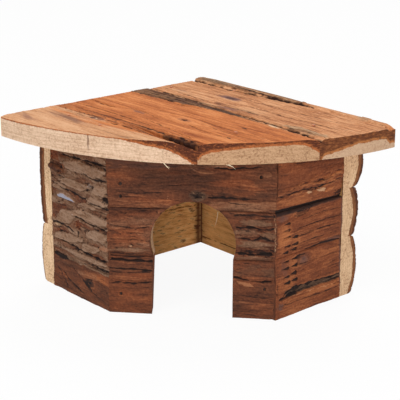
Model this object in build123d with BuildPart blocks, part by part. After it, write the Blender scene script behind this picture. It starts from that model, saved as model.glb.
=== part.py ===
from build123d import *
from dataclasses import dataclass
from math import sqrt
import os

os.makedirs("parts", exist_ok=True)

# Roof: a quarter of an oval of three live-edge boards, whose right angle is the back corner
roof_left_reach = 193.5
roof_right_reach = 204.9
board_edge_height = 12.4
board_crown_height = 16.2
board_wane = 2.5
right_board_back_width = 58.0
right_board_rim_width = 64.1
left_board_bearing = 20.8
left_seam_slant = 10.8

# Walls: slabs with a flat sawn face inside and a bark crown outside
wall_height = 118.7
back_left_inset = 15.7
back_right_inset = 16.6
left_overhang = 31.2
right_overhang = 32.4
front_cut_left = 87.5
front_cut_right = 80.0
panel_thickness = 12.8
panel_edge = 10.8
panel_crown = 13.8
slab_corner = 1.8

# Heights above the floor at which two slabs of a wall meet
back_left_seam = 47.0
back_right_low_seam = 45.6
back_right_high_seam = 83.0
left_side_low_seam = 27.0
left_side_high_seam = 72.0
right_side_low_seam = 45.0
right_side_high_seam = 78.0
front_low_seam = 43.0
front_high_seam = 79.0

# Thickness of the back slabs, at their edges and at their crowns
back_left_lower_edge, back_left_lower_crown = 12.0, 15.2
back_left_upper_edge, back_left_upper_crown = 12.4, 14.6
back_right_edge, back_right_crown = 12.2, 17.0
back_right_top_edge, back_right_top_crown = 14.0, 20.6

# Doorway: a round bite that just enters the top slab, over a slot that widens towards the floor
door_radius = 30.4
door_bite = 6.0
door_shift = -0.7
door_waist_width = 56.6
door_foot_width = 58.9
door_foot_shift = 1.1

# Brads: headed wire nails, driven square through the back walls and the roof, and slanting through the front
shank_radius = 0.7
head_radius = 1.1
head_height = 0.8
wall_brad_length = 32.0
corner_brad_length = 25.0
roof_brad_length = 26.0
brad_clearance = 0.05
corner_brad_sink = 2.2
brad_margin = 16.0
# Each brad of the front's corners: its distance in from the side panel's bark and its height
front_left_brads = [(6.2, 14.3), (6.8, 87.2), (6.6, 96.5)]
front_right_brads = [(6.3, 22.6), (8.9, 104.8)]

UP = Vector(0, 0, 1)
LEFT = Vector(-1, -1, 0) / sqrt(2)
RIGHT = Vector(1, -1, 0) / sqrt(2)
roof_depth = sqrt((roof_left_reach**2 + roof_right_reach**2) / 2)
apex = Vector((roof_left_reach - roof_right_reach) / sqrt(8), roof_depth / 2, 0)
board_rise = board_crown_height - board_edge_height


def at(left: float, right: float, height: float = 0.0) -> Vector:
    """The point at two distances from the roof's back corner, along its left and its right edge."""
    return apex + LEFT * left + RIGHT * right + UP * height


def arch_radius(span: float, rise: float) -> float:
    """Radius of a circular arch over a chord."""
    return (span**2 / 4 + rise**2) / (2 * rise)


def arch(span: float, rise: float, aside: float) -> float:
    """Height of a circular arch over its chord, at a distance from its middle."""
    radius = arch_radius(span, rise)
    return rise - radius + sqrt(radius**2 - aside**2)


@dataclass(frozen=True)
class Wall:
    """A wall, told by where its sawn face starts at the floor, the way its bark faces and its length."""

    start: Vector
    outward: Vector
    length: float

    @property
    def run(self) -> Vector:
        """Direction along the wall, from right to left as seen from outside."""
        return self.outward.cross(UP)

    def point(self, along: float, outward: float, height: float) -> Vector:
        """A point told by its distance along the wall, out of its sawn face and above the floor."""
        return self.start + self.run * along + self.outward * outward + UP * height


@dataclass(frozen=True)
class Slab:
    """One slab of a wall, told by its lower and upper edge and its thickness at the edges and the crown."""

    wall: Wall
    low: float
    high: float
    edge: float = panel_edge
    crown: float = panel_crown

    @property
    def middle(self) -> float:
        """Height of the slab's crown above the floor."""
        return (self.low + self.high) / 2

    def thickness(self, height: float) -> float:
        """Thickness at a height above the floor."""
        return self.edge + arch(self.high - self.low, self.crown - self.edge, height - self.middle)


@dataclass(frozen=True)
class Board:
    """A roof board, told by how far its edges lie from the roof's right edge, at the back and at the rim."""

    low_back: float
    low_rim: float
    high_back: float
    high_rim: float

    @property
    def outline(self) -> list:
        """The board's corners on the wall tops, before the rim trims it."""
        return [
            at(self.low_back, 0),
            at(self.low_rim, roof_right_reach),
            at(self.high_rim, roof_right_reach),
            at(self.high_back, 0),
        ]

    @property
    def width(self) -> float:
        """Mean width."""
        return (self.high_back + self.high_rim - self.low_back - self.low_rim) / 2

    @property
    def middle(self) -> tuple:
        """The board's middle line, as a point at the back edge and a direction."""
        start = at((self.low_back + self.high_back) / 2, 0)
        end = at((self.low_rim + self.high_rim) / 2, roof_right_reach)
        return start, (end - start).normalized()

    def top(self, left: float, right: float) -> float:
        """Height of the arched top above the floor over a point of the roof."""
        start, along = self.middle
        aside = (at(left, right) - start).cross(along).length
        return wall_height + board_edge_height + arch(self.width, board_rise, aside)


# Where the back walls end, as distances from the roof's back corner, and their lengths inside the room
left_end = roof_left_reach - left_overhang
right_end = roof_right_reach - right_overhang
back_left_reach = left_end - back_right_inset
back_right_reach = right_end - back_left_inset
left_side_width = back_right_reach - front_cut_left
right_side_width = back_left_reach - front_cut_right
left_corner = at(left_end, back_left_inset + left_side_width)
right_corner = at(back_right_inset + right_side_width, right_end)
front_outward = UP.cross((left_corner - right_corner).normalized())

back_left = Wall(at(left_end, back_left_inset), -RIGHT, back_left_reach + back_right_edge)
back_right = Wall(at(back_right_inset, back_left_inset), -LEFT, back_right_reach)
left_side = Wall(left_corner - LEFT * panel_thickness, LEFT, left_side_width)
right_side = Wall(at(back_right_inset, right_end - panel_thickness), RIGHT, right_side_width)
front_width = (left_corner - right_corner).length
front = Wall(right_corner - front_outward * panel_thickness, front_outward, front_width)

slabs = {
    "back_left_lower": Slab(back_left, 0, back_left_seam, back_left_lower_edge, back_left_lower_crown),
    "back_left_upper": Slab(
        back_left, back_left_seam, wall_height, back_left_upper_edge, back_left_upper_crown
    ),
    "back_right_bottom": Slab(back_right, 0, back_right_low_seam, back_right_edge, back_right_crown),
    "back_right_middle": Slab(
        back_right, back_right_low_seam, back_right_high_seam, back_right_edge, back_right_crown
    ),
    "back_right_top": Slab(
        back_right, back_right_high_seam, wall_height, back_right_top_edge, back_right_top_crown
    ),
    "left_side_bottom": Slab(left_side, 0, left_side_low_seam),
    "left_side_middle": Slab(left_side, left_side_low_seam, left_side_high_seam),
    "left_side_top": Slab(left_side, left_side_high_seam, wall_height),
    "right_side_bottom": Slab(right_side, 0, right_side_low_seam),
    "right_side_middle": Slab(right_side, right_side_low_seam, right_side_high_seam),
    "right_side_top": Slab(right_side, right_side_high_seam, wall_height),
}
front_slabs = {
    "front_bottom": Slab(front, 0, front_low_seam),
    "front_middle": Slab(front, front_low_seam, front_high_seam),
    "front_top": Slab(front, front_high_seam, wall_height),
}
right_seam = (right_board_back_width, right_board_rim_width)
left_seam = (left_end - left_board_bearing, left_end - left_board_bearing - left_seam_slant)
boards = {
    "roof_board_right": Board(0, 0, *right_seam),
    "roof_board_middle": Board(*right_seam, *left_seam),
    "roof_board_left": Board(*left_seam, roof_left_reach, roof_left_reach),
}


def wall_brads(names: list, along: float) -> list:
    """Seats of brads flush with the crowns of some slabs, at a distance along their wall."""
    planes = []
    for name in names:
        slab = slabs[name]
        seat = slab.wall.point(along, slab.crown - head_height, slab.middle)
        planes.append(Plane(seat, z_dir=slab.wall.outward))
    return planes


def corner_brads(corner: Vector, inward: Vector, outward: Vector, places: list) -> list:
    """Seats of brads sunk in the front beside a corner, in line with the side panel that they hold."""
    planes = []
    for inset, height in places:
        slab = next(slab for slab in front_slabs.values() if slab.low <= height < slab.high)
        bark = slab.thickness(height) - panel_thickness
        surface = (bark - inset * front_outward.dot(inward)) / front_outward.dot(outward)
        seat = corner + inward * inset + outward * (surface - corner_brad_sink) + UP * height
        planes.append(Plane(seat, z_dir=outward))
    return planes


def roof_brads(places: list) -> list:
    """Seats of brads flush with the top of their roof board, told by the board and by a point of the roof."""
    planes = []
    for name, left, right in places:
        seat = at(left, right, boards[name].top(left, right) - head_height)
        planes.append(Plane(seat, z_dir=UP))
    return planes


def front_line(share: float) -> tuple:
    """The point of the roof over the front wall's middle, at a share of its width from the right corner."""
    point = front.point(front.length * share, panel_thickness / 2, 0) - apex
    return point.dot(LEFT), point.dot(RIGHT)


half_panel = panel_thickness / 2
back_left_slabs = ["back_left_lower", "back_left_upper"]
back_right_slabs = ["back_right_bottom", "back_right_middle", "back_right_top"]
brads = {
    "left_corner_brads": wall_brads(back_left_slabs, half_panel),
    "back_corner_brads": wall_brads(back_left_slabs, back_left_reach + back_right_edge / 2),
    "right_corner_brads": wall_brads(back_right_slabs, back_right_reach - half_panel),
    "front_left_brads": corner_brads(left_corner, -LEFT, RIGHT, front_left_brads),
    "front_right_brads": corner_brads(right_corner, -RIGHT, LEFT, front_right_brads),
    "roof_brads": roof_brads(
        [
            ("roof_board_left", left_end - half_panel, back_left_inset + brad_margin),
            ("roof_board_left", left_end - half_panel, back_left_inset + left_side_width - brad_margin),
            ("roof_board_middle", left_seam[0] - brad_margin, back_left_inset - half_panel),
            ("roof_board_middle", right_seam[0] + brad_margin, back_left_inset - half_panel),
            ("roof_board_middle", *front_line(0.65)),
            ("roof_board_middle", *front_line(0.25)),
            ("roof_board_right", right_seam[0] - brad_margin, back_left_inset - half_panel),
            ("roof_board_right", back_right_inset - half_panel, back_left_inset + 2 * brad_margin),
            ("roof_board_right", back_right_inset - half_panel, right_end - 2 * brad_margin),
            ("roof_board_right", right_seam[0] - brad_margin, right_end - half_panel),
        ]
    ),
}
brad_lengths = {
    "left_corner_brads": wall_brad_length,
    "back_corner_brads": wall_brad_length,
    "right_corner_brads": wall_brad_length,
    "front_left_brads": corner_brad_length,
    "front_right_brads": corner_brad_length,
    "roof_brads": roof_brad_length,
}


def brad_group(name: str, gap: float = 0.0, pocket: float = 0.0) -> Part:
    """A group of brads or, with a gap round them and a pocket over their heads, the holes that they fill."""
    with BuildPart() as group:
        for plane in brads[name]:
            with BuildSketch(plane):
                Circle(shank_radius + gap)
            extrude(amount=-brad_lengths[name] - gap)
            with BuildSketch(plane):
                Circle(head_radius + gap)
            extrude(amount=head_height + pocket)
    return group.part


brad_holes = [brad_group(name, brad_clearance, panel_crown) for name in brads]
pieces = {}


def slab_section(slab: Slab) -> Sketch:
    """A slab's cross-section: flat inside, arched outside, with both bark corners rounded."""
    with BuildSketch() as section:
        with BuildLine():
            Polyline((slab.edge, slab.low), (0, slab.low), (0, slab.high), (slab.edge, slab.high))
            ThreePointArc((slab.edge, slab.high), (slab.crown, slab.middle), (slab.edge, slab.low))
        make_face()
        fillet(section.vertices().group_by(Axis.X)[-1], slab_corner)
    return section.sketch


# Slabs of the back walls and the side panels, cut square at both ends
for name, slab in slabs.items():
    with BuildPart() as wall_slab:
        with BuildSketch(Plane(slab.wall.start, x_dir=slab.wall.outward, z_dir=slab.wall.run)):
            add(slab_section(slab))
        extrude(amount=slab.wall.length)
        for hole in brad_holes:
            add(hole, mode=Mode.SUBTRACT)
    pieces[name] = wall_slab.part

# Slabs of the front, with bevelled ends that close the side panels' ends, cut through by the doorway
front_reserve = 2 * panel_thickness
door_centre_height = front_high_seam + door_bite - door_radius
door_foot = front.point(front.length / 2 + door_shift, 0, 0)
half_foot, half_waist = door_foot_width / 2, door_waist_width / 2
for name, slab in front_slabs.items():
    with BuildPart() as front_slab:
        with BuildSketch(Plane(front.point(-front_reserve, 0, 0), x_dir=front.outward, z_dir=front.run)):
            add(slab_section(slab))
        extrude(amount=front.length + 2 * front_reserve)
        split(bisect_by=Plane(left_corner, z_dir=RIGHT), keep=Keep.TOP)
        split(bisect_by=Plane(right_corner, z_dir=LEFT), keep=Keep.TOP)
        with BuildSketch(Plane(door_foot, x_dir=-front.run, z_dir=front.outward)):
            with Locations((0, door_centre_height)):
                Circle(door_radius)
            with BuildLine():
                waist = [(half_waist, door_centre_height), (-half_waist, door_centre_height)]
                foot = [(-half_foot - door_foot_shift, 0), (half_foot - door_foot_shift, 0)]
                Polyline(*foot, *waist, close=True)
            make_face()
        extrude(amount=front_reserve, mode=Mode.SUBTRACT)
        for hole in brad_holes:
            add(hole, mode=Mode.SUBTRACT)
    cut = front_slab.part.solids().sort_by(Axis.X)
    if len(cut) == 1:
        pieces[name] = front_slab.part
    else:
        pieces[f"{name}_left"] = cut[0]
        pieces[f"{name}_right"] = cut[-1]

# Roof boards: flat below, arched along their length, sawn off at the rim, with their live edges bevelled
for name, board in boards.items():
    with BuildPart() as roof_board:
        with BuildSketch(Plane.XY.offset(wall_height)):
            with Locations((apex.X, apex.Y)):
                Ellipse(roof_right_reach, roof_left_reach, rotation=-45)
            with BuildLine():
                Polyline(*[(corner.X, corner.Y) for corner in board.outline], close=True)
            make_face(mode=Mode.INTERSECT)
        extrude(amount=board_crown_height)
        start, along = board.middle
        radius = arch_radius(board.width, board_rise)
        axis = start + UP * (wall_height + board_crown_height - radius)
        with BuildSketch(Plane(axis, x_dir=UP, z_dir=along)):
            Circle(radius)
        extrude(amount=2 * roof_right_reach, both=True, mode=Mode.INTERSECT)
        low_start, low_end, high_end, high_start = board.outline
        live_edges = [(low_start, low_end)]
        if board.high_back < roof_left_reach:
            live_edges.append((high_end, high_start))
        for near, far in live_edges:
            bevel_height = UP * (wall_height + board_edge_height - board_wane)
            aside = (near - far).cross(UP).normalized()
            split(bisect_by=Plane(near + bevel_height, z_dir=aside + UP), keep=Keep.BOTTOM)
        for hole in brad_holes:
            add(hole, mode=Mode.SUBTRACT)
    pieces[name] = roof_board.part

for name in brads:
    pieces[name] = brad_group(name)

for name, piece in pieces.items():
    piece.label = name
    export_step(piece, f"parts/{name}.step")
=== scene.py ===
"""A corner hide for small pets: bark slabs nailed under a quarter-round roof of three live-edge boards."""

import logging
from dataclasses import dataclass, field, fields, replace
from enum import Enum, IntEnum

import bpy
import numpy as np
from mathutils import Matrix, Vector


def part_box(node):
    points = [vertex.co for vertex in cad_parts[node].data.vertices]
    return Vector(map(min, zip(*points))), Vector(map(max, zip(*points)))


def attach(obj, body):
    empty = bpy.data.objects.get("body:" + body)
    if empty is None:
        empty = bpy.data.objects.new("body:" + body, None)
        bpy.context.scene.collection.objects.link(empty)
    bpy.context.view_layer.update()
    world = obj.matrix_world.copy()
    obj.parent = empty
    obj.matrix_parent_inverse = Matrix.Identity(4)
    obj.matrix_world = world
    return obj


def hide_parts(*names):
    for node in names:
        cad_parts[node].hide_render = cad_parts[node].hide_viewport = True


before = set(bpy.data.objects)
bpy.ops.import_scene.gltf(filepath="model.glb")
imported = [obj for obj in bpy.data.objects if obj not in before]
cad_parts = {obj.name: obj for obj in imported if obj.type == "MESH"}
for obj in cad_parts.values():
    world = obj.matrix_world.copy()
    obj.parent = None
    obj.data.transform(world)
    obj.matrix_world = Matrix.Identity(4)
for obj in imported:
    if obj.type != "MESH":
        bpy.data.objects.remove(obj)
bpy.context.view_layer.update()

Array = np.ndarray
Pair = tuple[float, float]
Triple = tuple[float, float, float]
Colour = Triple
Marks = tuple["Mark", ...]
Socket = bpy.types.NodeSocket
Value = Socket | float
Paint = Socket | Colour

log = logging.getLogger("hide")

MM = 0.001
UP = np.array([0.0, 0.0, 1.0])
LEFT = np.array([-1.0, -1.0, 0.0]) / np.sqrt(2)
RIGHT = np.array([1.0, -1.0, 0.0]) / np.sqrt(2)
BITS = 0xFFFFFFFF
COLUMN_PRIME, ROW_PRIME, SEED_PRIME, STIR_PRIME = 374761393, 668265263, 974634777, 1274126177
WAVES_SPREAD, ROUGH_SPREAD = 1.5, 1.4
FOOT_PLACE, FOOT_STEEPNESS = 0.3, 1.6
WHITE = (1.0, 1.0, 1.0, 1.0)
RIM_CRACK = 9.15
WASH_MIDDLE = 0.5


def heights_of(node: str) -> Pair:
    """Lowest and highest point of a node of the frame, in millimetres."""
    low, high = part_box(node)
    return low[2] / MM, high[2] / MM


def scatter(column: Array, row: Array, seed: int) -> Array:
    """Random values for the places of a lattice, by multiplying and shifting the bits of their numbers.

    Args:
        column: Whole numbers of the lattice places, one way.
        row: Whole numbers of the lattice places, the other way.
        seed: Picks one of many lattices.

    Returns:
        Values from 0 to 1, in the shape of the places.
    """
    mixed = column.astype(np.int64) * COLUMN_PRIME + row.astype(np.int64) * ROW_PRIME + seed * SEED_PRIME
    mixed = mixed & BITS
    mixed = ((mixed ^ (mixed >> 13)) * STIR_PRIME) & BITS
    return (mixed ^ (mixed >> 16)) / BITS


def ease(share: Array) -> Array:
    """Smooth step: three times the square less twice the cube, of a share kept from 0 to 1."""
    kept = np.clip(share, 0.0, 1.0)
    return kept * kept * (3.0 - 2.0 * kept)


def waves(x: Array, y: Array, seed: int) -> Array:
    """Gradient noise: at each lattice corner a random slope, blended between the corners by a smooth step.

    Args:
        x: Places, in lattice cells.
        y: Places, in lattice cells, the other way.
        seed: Picks one of many patterns.

    Returns:
        Values from about -1 to 1.
    """
    column, row = np.floor(x), np.floor(y)
    across, up = x - column, y - row
    blend_x, blend_y = ease(across), ease(up)
    total = np.zeros(np.broadcast(x, y).shape)
    for step_x in (0, 1):
        for step_y in (0, 1):
            turn = 2 * np.pi * scatter(column + step_x, row + step_y, seed)
            slope = np.cos(turn) * (across - step_x) + np.sin(turn) * (up - step_y)
            weight_x = blend_x if step_x else 1 - blend_x
            weight_y = blend_y if step_y else 1 - blend_y
            total = total + slope * weight_x * weight_y
    return WAVES_SPREAD * total


def rough(x: Array, y: Array, seed: int, octaves: int = 4, gain: float = 0.55) -> Array:
    """Adds up gradient noises, each twice as fine as the last and weaker by the gain.

    Args:
        x: Places, in lattice cells of the first noise.
        y: Places, in lattice cells, the other way.
        seed: Picks one of many patterns.
        octaves: Number of noises.
        gain: Weight of each noise beside the last.

    Returns:
        Values from about -1 to 1.
    """
    total, weight, whole = 0.0, 1.0, 0.0
    for octave in range(octaves):
        total = total + weight * waves(x * 2**octave, y * 2**octave, seed + octave)
        whole += weight
        weight *= gain
    return total / whole * ROUGH_SPREAD


def terraces(value: Array, count: int, riser: float) -> tuple[Array, Array]:
    """Turns a smooth field into flat steps.

    Args:
        value: A field from about -1 to 1.
        count: Number of steps over that range.
        riser: Share of each step's width that climbs.

    Returns:
        The stepped field from 0 to 1, and how near each place is to the foot of a riser, from 0 to 1.
    """
    scaled = (value * 0.5 + 0.5) * count
    step = np.floor(scaled)
    part = (scaled - step) / riser
    return (step + ease(part)) / count, np.clip(1.0 - np.abs(part - FOOT_PLACE) * FOOT_STEEPNESS, 0.0, 1.0)


def hollows(lift: Array, reach: int) -> Array:
    """Depth of places below their surroundings: the mean of a square of places, less the place's lift.

    Args:
        lift: A grid of heights.
        reach: Half the square's side, in grid steps.

    Returns:
        The depth at each place, below zero where the place stands out.
    """
    mean, window = lift, 2 * reach + 1
    for axis in (0, 1):
        padding = [(reach + 1, reach) if other == axis else (0, 0) for other in (0, 1)]
        total = np.cumsum(np.pad(mean, padding, mode="edge"), axis=axis)
        count = lift.shape[axis]
        upper = np.take(total, np.arange(window, window + count), axis)
        mean = (upper - np.take(total, np.arange(count), axis)) / window
    return mean - lift


class Layer(IntEnum):
    """Added to a seed, so that each layer of noise has a pattern of its own."""

    FIRST = 0
    WIDTH = 3
    BROKEN = 5
    BEND = 7
    RAGGED_ALONG = 11
    RAGGED_UP = 12
    FURROWS = 20
    BREAKS = 25
    FLAKES = 30
    FIBRES = 40
    GRIT = 50
    CLOUDS = 60
    BARK = 70
    WORN = 80
    SAW = 90
    FIGURE = 91
    MARKS = 100
    INNER_MARKS = 300


MARK_STEP = 10


@dataclass(frozen=True)
class Ripple:
    """A layer of noise on a surface, told by the length of its waves along and across the grain."""

    along: float
    across: float
    layer: Layer
    octaves: int = 3
    gain: float = 0.55

    def at(self, along: Array, up: Array, seed: int) -> Array:
        """The noise at each place, from about -1 to 1."""
        return rough(along / self.along, up / self.across, seed + self.layer, self.octaves, self.gain)


@dataclass
class Skin:
    """Relief and colour shares of a surface, each a grid of values."""

    lift: Array
    tone: Array
    red: Array
    grey: Array
    dark: Array
    pale: Array
    violet: Array

    def touch(self, share: Array, change: "Touch") -> None:
        """Adds a change to each field, times its share at each place.

        Args:
            share: Strength of the change at each place.
            change: The change at full strength.
        """
        for item in fields(self):
            amount = getattr(change, item.name)
            if amount:
                setattr(self, item.name, getattr(self, item.name) + share * amount)


@dataclass(frozen=True)
class Touch:
    """How much a mark at full strength changes a skin: lift in millimetres, the rest as shares."""

    lift: float = 0.0
    tone: float = 0.0
    red: float = 0.0
    grey: float = 0.0
    dark: float = 0.0
    pale: float = 0.0
    violet: float = 0.0


@dataclass(frozen=True)
class Mark:
    """Something at a place of its own on a surface, such as a crack or a knot."""

    change: Touch

    def share(self, along: Array, up: Array, seed: int) -> Array:
        """Strength of the mark at each place, from 0 to 1.

        Args:
            along: Places along the grain.
            up: Places across the grain.
            seed: Picks one of many patterns.

        Returns:
            The mark's strength at each place, from 0 to 1.
        """
        raise NotImplementedError


@dataclass(frozen=True)
class Patch(Mark):
    """A ragged round or long patch."""

    place: Pair
    size: Pair
    turn: float = 0.0
    ragged: float = 0.5
    soft: float = 0.25
    lobes: Pair = (1.7, 1.7)

    def local(self, along: Array, up: Array) -> tuple[Array, Array]:
        """Turns places into distances from the patch's middle, in shares of its half sizes.

        Args:
            along: Places along the grain.
            up: Places across the grain.

        Returns:
            The shares along the patch and across it.
        """
        lean = np.radians(self.turn)
        from_x, from_y = along - self.place[0], up - self.place[1]
        x = (from_x * np.cos(lean) + from_y * np.sin(lean)) / self.size[0]
        return x, (from_y * np.cos(lean) - from_x * np.sin(lean)) / self.size[1]

    def share(self, along: Array, up: Array, seed: int) -> Array:
        """One inside an ellipse with a wavering edge, falling to zero over the soft share of its size.

        Args:
            along: Places along the grain.
            up: Places across the grain.
            seed: Picks one of many patterns.

        Returns:
            The mark's strength at each place, from 0 to 1.
        """
        x, y = self.local(along, up)
        waver = self.ragged * rough(x * self.lobes[0], y * self.lobes[1], seed, 3)
        return ease((1.0 + waver - np.hypot(x, y)) / self.soft)


@dataclass(frozen=True)
class Plate(Patch):
    """A bark plate: a blocky patch with a crisp, finely broken edge."""

    ragged: float = 0.16
    soft: float = 0.12
    lobes: Pair = (1.6, 1.2)
    skew: float = 0.35
    break_share: float = 0.9
    breaks: Ripple = Ripple(3.0, 2.4, Layer.BROKEN)

    def share(self, along: Array, up: Array, seed: int) -> Array:
        """One inside a rounded block, by the fourth power of the distances, whose edge wavers with noise.

        Args:
            along: Places along the grain.
            up: Places across the grain.
            seed: Picks one of many patterns.

        Returns:
            The mark's strength at each place, from 0 to 1.
        """
        x, y = self.local(along, up)
        x = x + self.skew * y
        broken = self.break_share * self.breaks.at(along, up, seed)
        waver = self.ragged * (rough(x * self.lobes[0], y * self.lobes[1], seed, 2) + broken)
        return ease((1.0 + waver - (x**4 + y**4) ** 0.25) / self.soft)


@dataclass(frozen=True)
class Stroke(Mark):
    """A line of given width through a few points, such as a crack, a furrow or a fibre."""

    points: tuple[Pair, ...]
    width: float
    waver: float = 0.6
    taper: bool = True
    bend_along: Ripple = Ripple(9.0, 4.0, Layer.FIRST)
    bend_up: Ripple = Ripple(6.0, 6.0, Layer.BEND)
    beads: float = 5.0
    mean_width: float = 0.75
    width_change: float = 0.8
    end_width: float = 0.25
    least_width: float = 0.05

    def share(self, along: Array, up: Array, seed: int) -> Array:
        """A bell curve of the distance from the line, thinner towards its ends where it tapers.

        Args:
            along: Places along the grain.
            up: Places across the grain.
            seed: Picks one of many patterns.

        Returns:
            The mark's strength at each place, from 0 to 1.
        """
        x = along + self.waver * self.bend_along.at(along, up, seed)
        y = up + self.waver * self.bend_up.at(along, up, seed)
        best = np.full(np.broadcast(along, up).shape, np.inf)
        where = np.zeros(best.shape)
        legs = list(zip(self.points[:-1], self.points[1:]))
        for number, (start, end) in enumerate(legs):
            run_x, run_y = end[0] - start[0], end[1] - start[1]
            part = ((x - start[0]) * run_x + (y - start[1]) * run_y) / (run_x**2 + run_y**2)
            part = np.clip(part, 0.0, 1.0)
            distance = np.hypot(x - start[0] - part * run_x, y - start[1] - part * run_y)
            where = np.where(distance < best, (number + part) / len(legs), where)
            best = np.minimum(best, distance)
        beads = waves(along / self.beads, up / self.beads, seed + Layer.WIDTH)
        width = self.width * (self.mean_width + self.width_change * beads)
        if self.taper:
            width = width * (self.end_width + np.sqrt(np.clip(4 * where * (1 - where), 0.0, 1.0)))
        return np.exp(-((best / np.maximum(width, self.least_width)) ** 2))


@dataclass(frozen=True)
class Shelf(Mark):
    """All that lies above a wavering line, or below it, as where one layer of bark ends on another."""

    start: Pair
    end: Pair
    waver: float = 1.2
    above: bool = True
    soft: float = 0.7
    depth: float = 400.0
    fade: float = 3.0
    depth_fade: Pair = (0.3, 1.0)
    ripple: Ripple = Ripple(11.0, 30.0, Layer.FIRST, 4)

    def share(self, along: Array, up: Array, seed: int) -> Array:
        """One on the chosen side of the line, to a given depth from it, with a steep edge.

        Args:
            along: Places along the grain.
            up: Places across the grain.
            seed: Picks one of many patterns.

        Returns:
            The mark's strength at each place, from 0 to 1.
        """
        slope = (self.end[1] - self.start[1]) / (self.end[0] - self.start[0])
        line = self.start[1] + (along - self.start[0]) * slope
        line = line + self.waver * self.ripple.at(along, up, seed)
        gap = up - line if self.above else line - up
        reach = ease((along - min(self.start[0], self.end[0])) / self.fade)
        reach = reach * ease((max(self.start[0], self.end[0]) - along) / self.fade)
        far = 1.0 - ease((gap - self.depth) / (self.depth_fade[0] * self.depth + self.depth_fade[1]))
        return ease(gap / self.soft) * far * reach


@dataclass(frozen=True)
class Knot(Mark):
    """A knot: rings of relief in a round patch, with the fibres bent round it."""

    place: Pair
    size: Pair
    bend: float = 1.0
    waver: float = 0.25
    lobes: float = 1.5
    rim: float = 1.15
    rings: float = 9.0
    ring_share: float = 0.3
    bend_reach: float = 2.6

    def share(self, along: Array, up: Array, seed: int) -> Array:
        """One at the middle, falling to the rim, crossed by three rings.

        Args:
            along: Places along the grain.
            up: Places across the grain.
            seed: Picks one of many patterns.

        Returns:
            The mark's strength at each place, from 0 to 1.
        """
        x, y = (along - self.place[0]) / self.size[0], (up - self.place[1]) / self.size[1]
        radius = np.hypot(x, y) + self.waver * rough(x * self.lobes, y * self.lobes, seed, 3)
        rings = self.ring_share * np.cos(self.rings * radius)
        return ease(self.rim - radius) * (1.0 - self.ring_share + rings)

    def bent(self, along: Array, up: Array) -> Array:
        """How far the fibres are pushed aside at each place, across the grain.

        Args:
            along: Places along the grain.
            up: Places across the grain.

        Returns:
            The distances in millimetres.
        """
        x = (along - self.place[0]) / (self.bend_reach * self.size[0])
        y = (up - self.place[1]) / self.size[1]
        return -self.bend * self.size[1] * np.tanh(y * 1.2) * np.exp(-(x**2) - 0.16 * y**2)


@dataclass(frozen=True)
class Teeth(Mark):
    """A column of wedge-shaped nicks, one over another, each with its tip towards the grid's far end."""

    along: float
    span: Pair
    pitch: float = 5.3
    length: float = 8.0
    height: float = 1.6
    shift: float = 0.3
    stagger: float = 1.6
    least: float = 0.6
    spread: float = 0.8
    soft: float = 0.5

    def share(self, along: Array, up: Array, seed: int) -> Array:
        """One inside a wedge that narrows to its tip, repeated at the pitch, each a bit out of line.

        Args:
            along: Places along the grain.
            up: Places across the grain.
            seed: Picks one of many patterns.

        Returns:
            The mark's strength at each place, from 0 to 1.
        """
        row = np.floor((up - self.span[0]) / self.pitch)
        middle = self.span[0] + (row + 0.5 + self.shift * (scatter(row, row, seed) - 0.5)) * self.pitch
        aside = self.stagger * (scatter(row, row, seed + 1) - 0.5)
        part = (along - self.along + aside) / self.length + 0.5
        size = self.height * (self.least + self.spread * scatter(row, row, seed + 2))
        inside = size * np.clip(1.0 - part, 0.0, 1.0) * ease(part * 5.0) - np.abs(up - middle)
        there = (up > self.span[0]) & (up < self.span[1])
        return ease(inside / self.soft + 0.5) * there * ease((1.1 - part) * 8.0)


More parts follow.
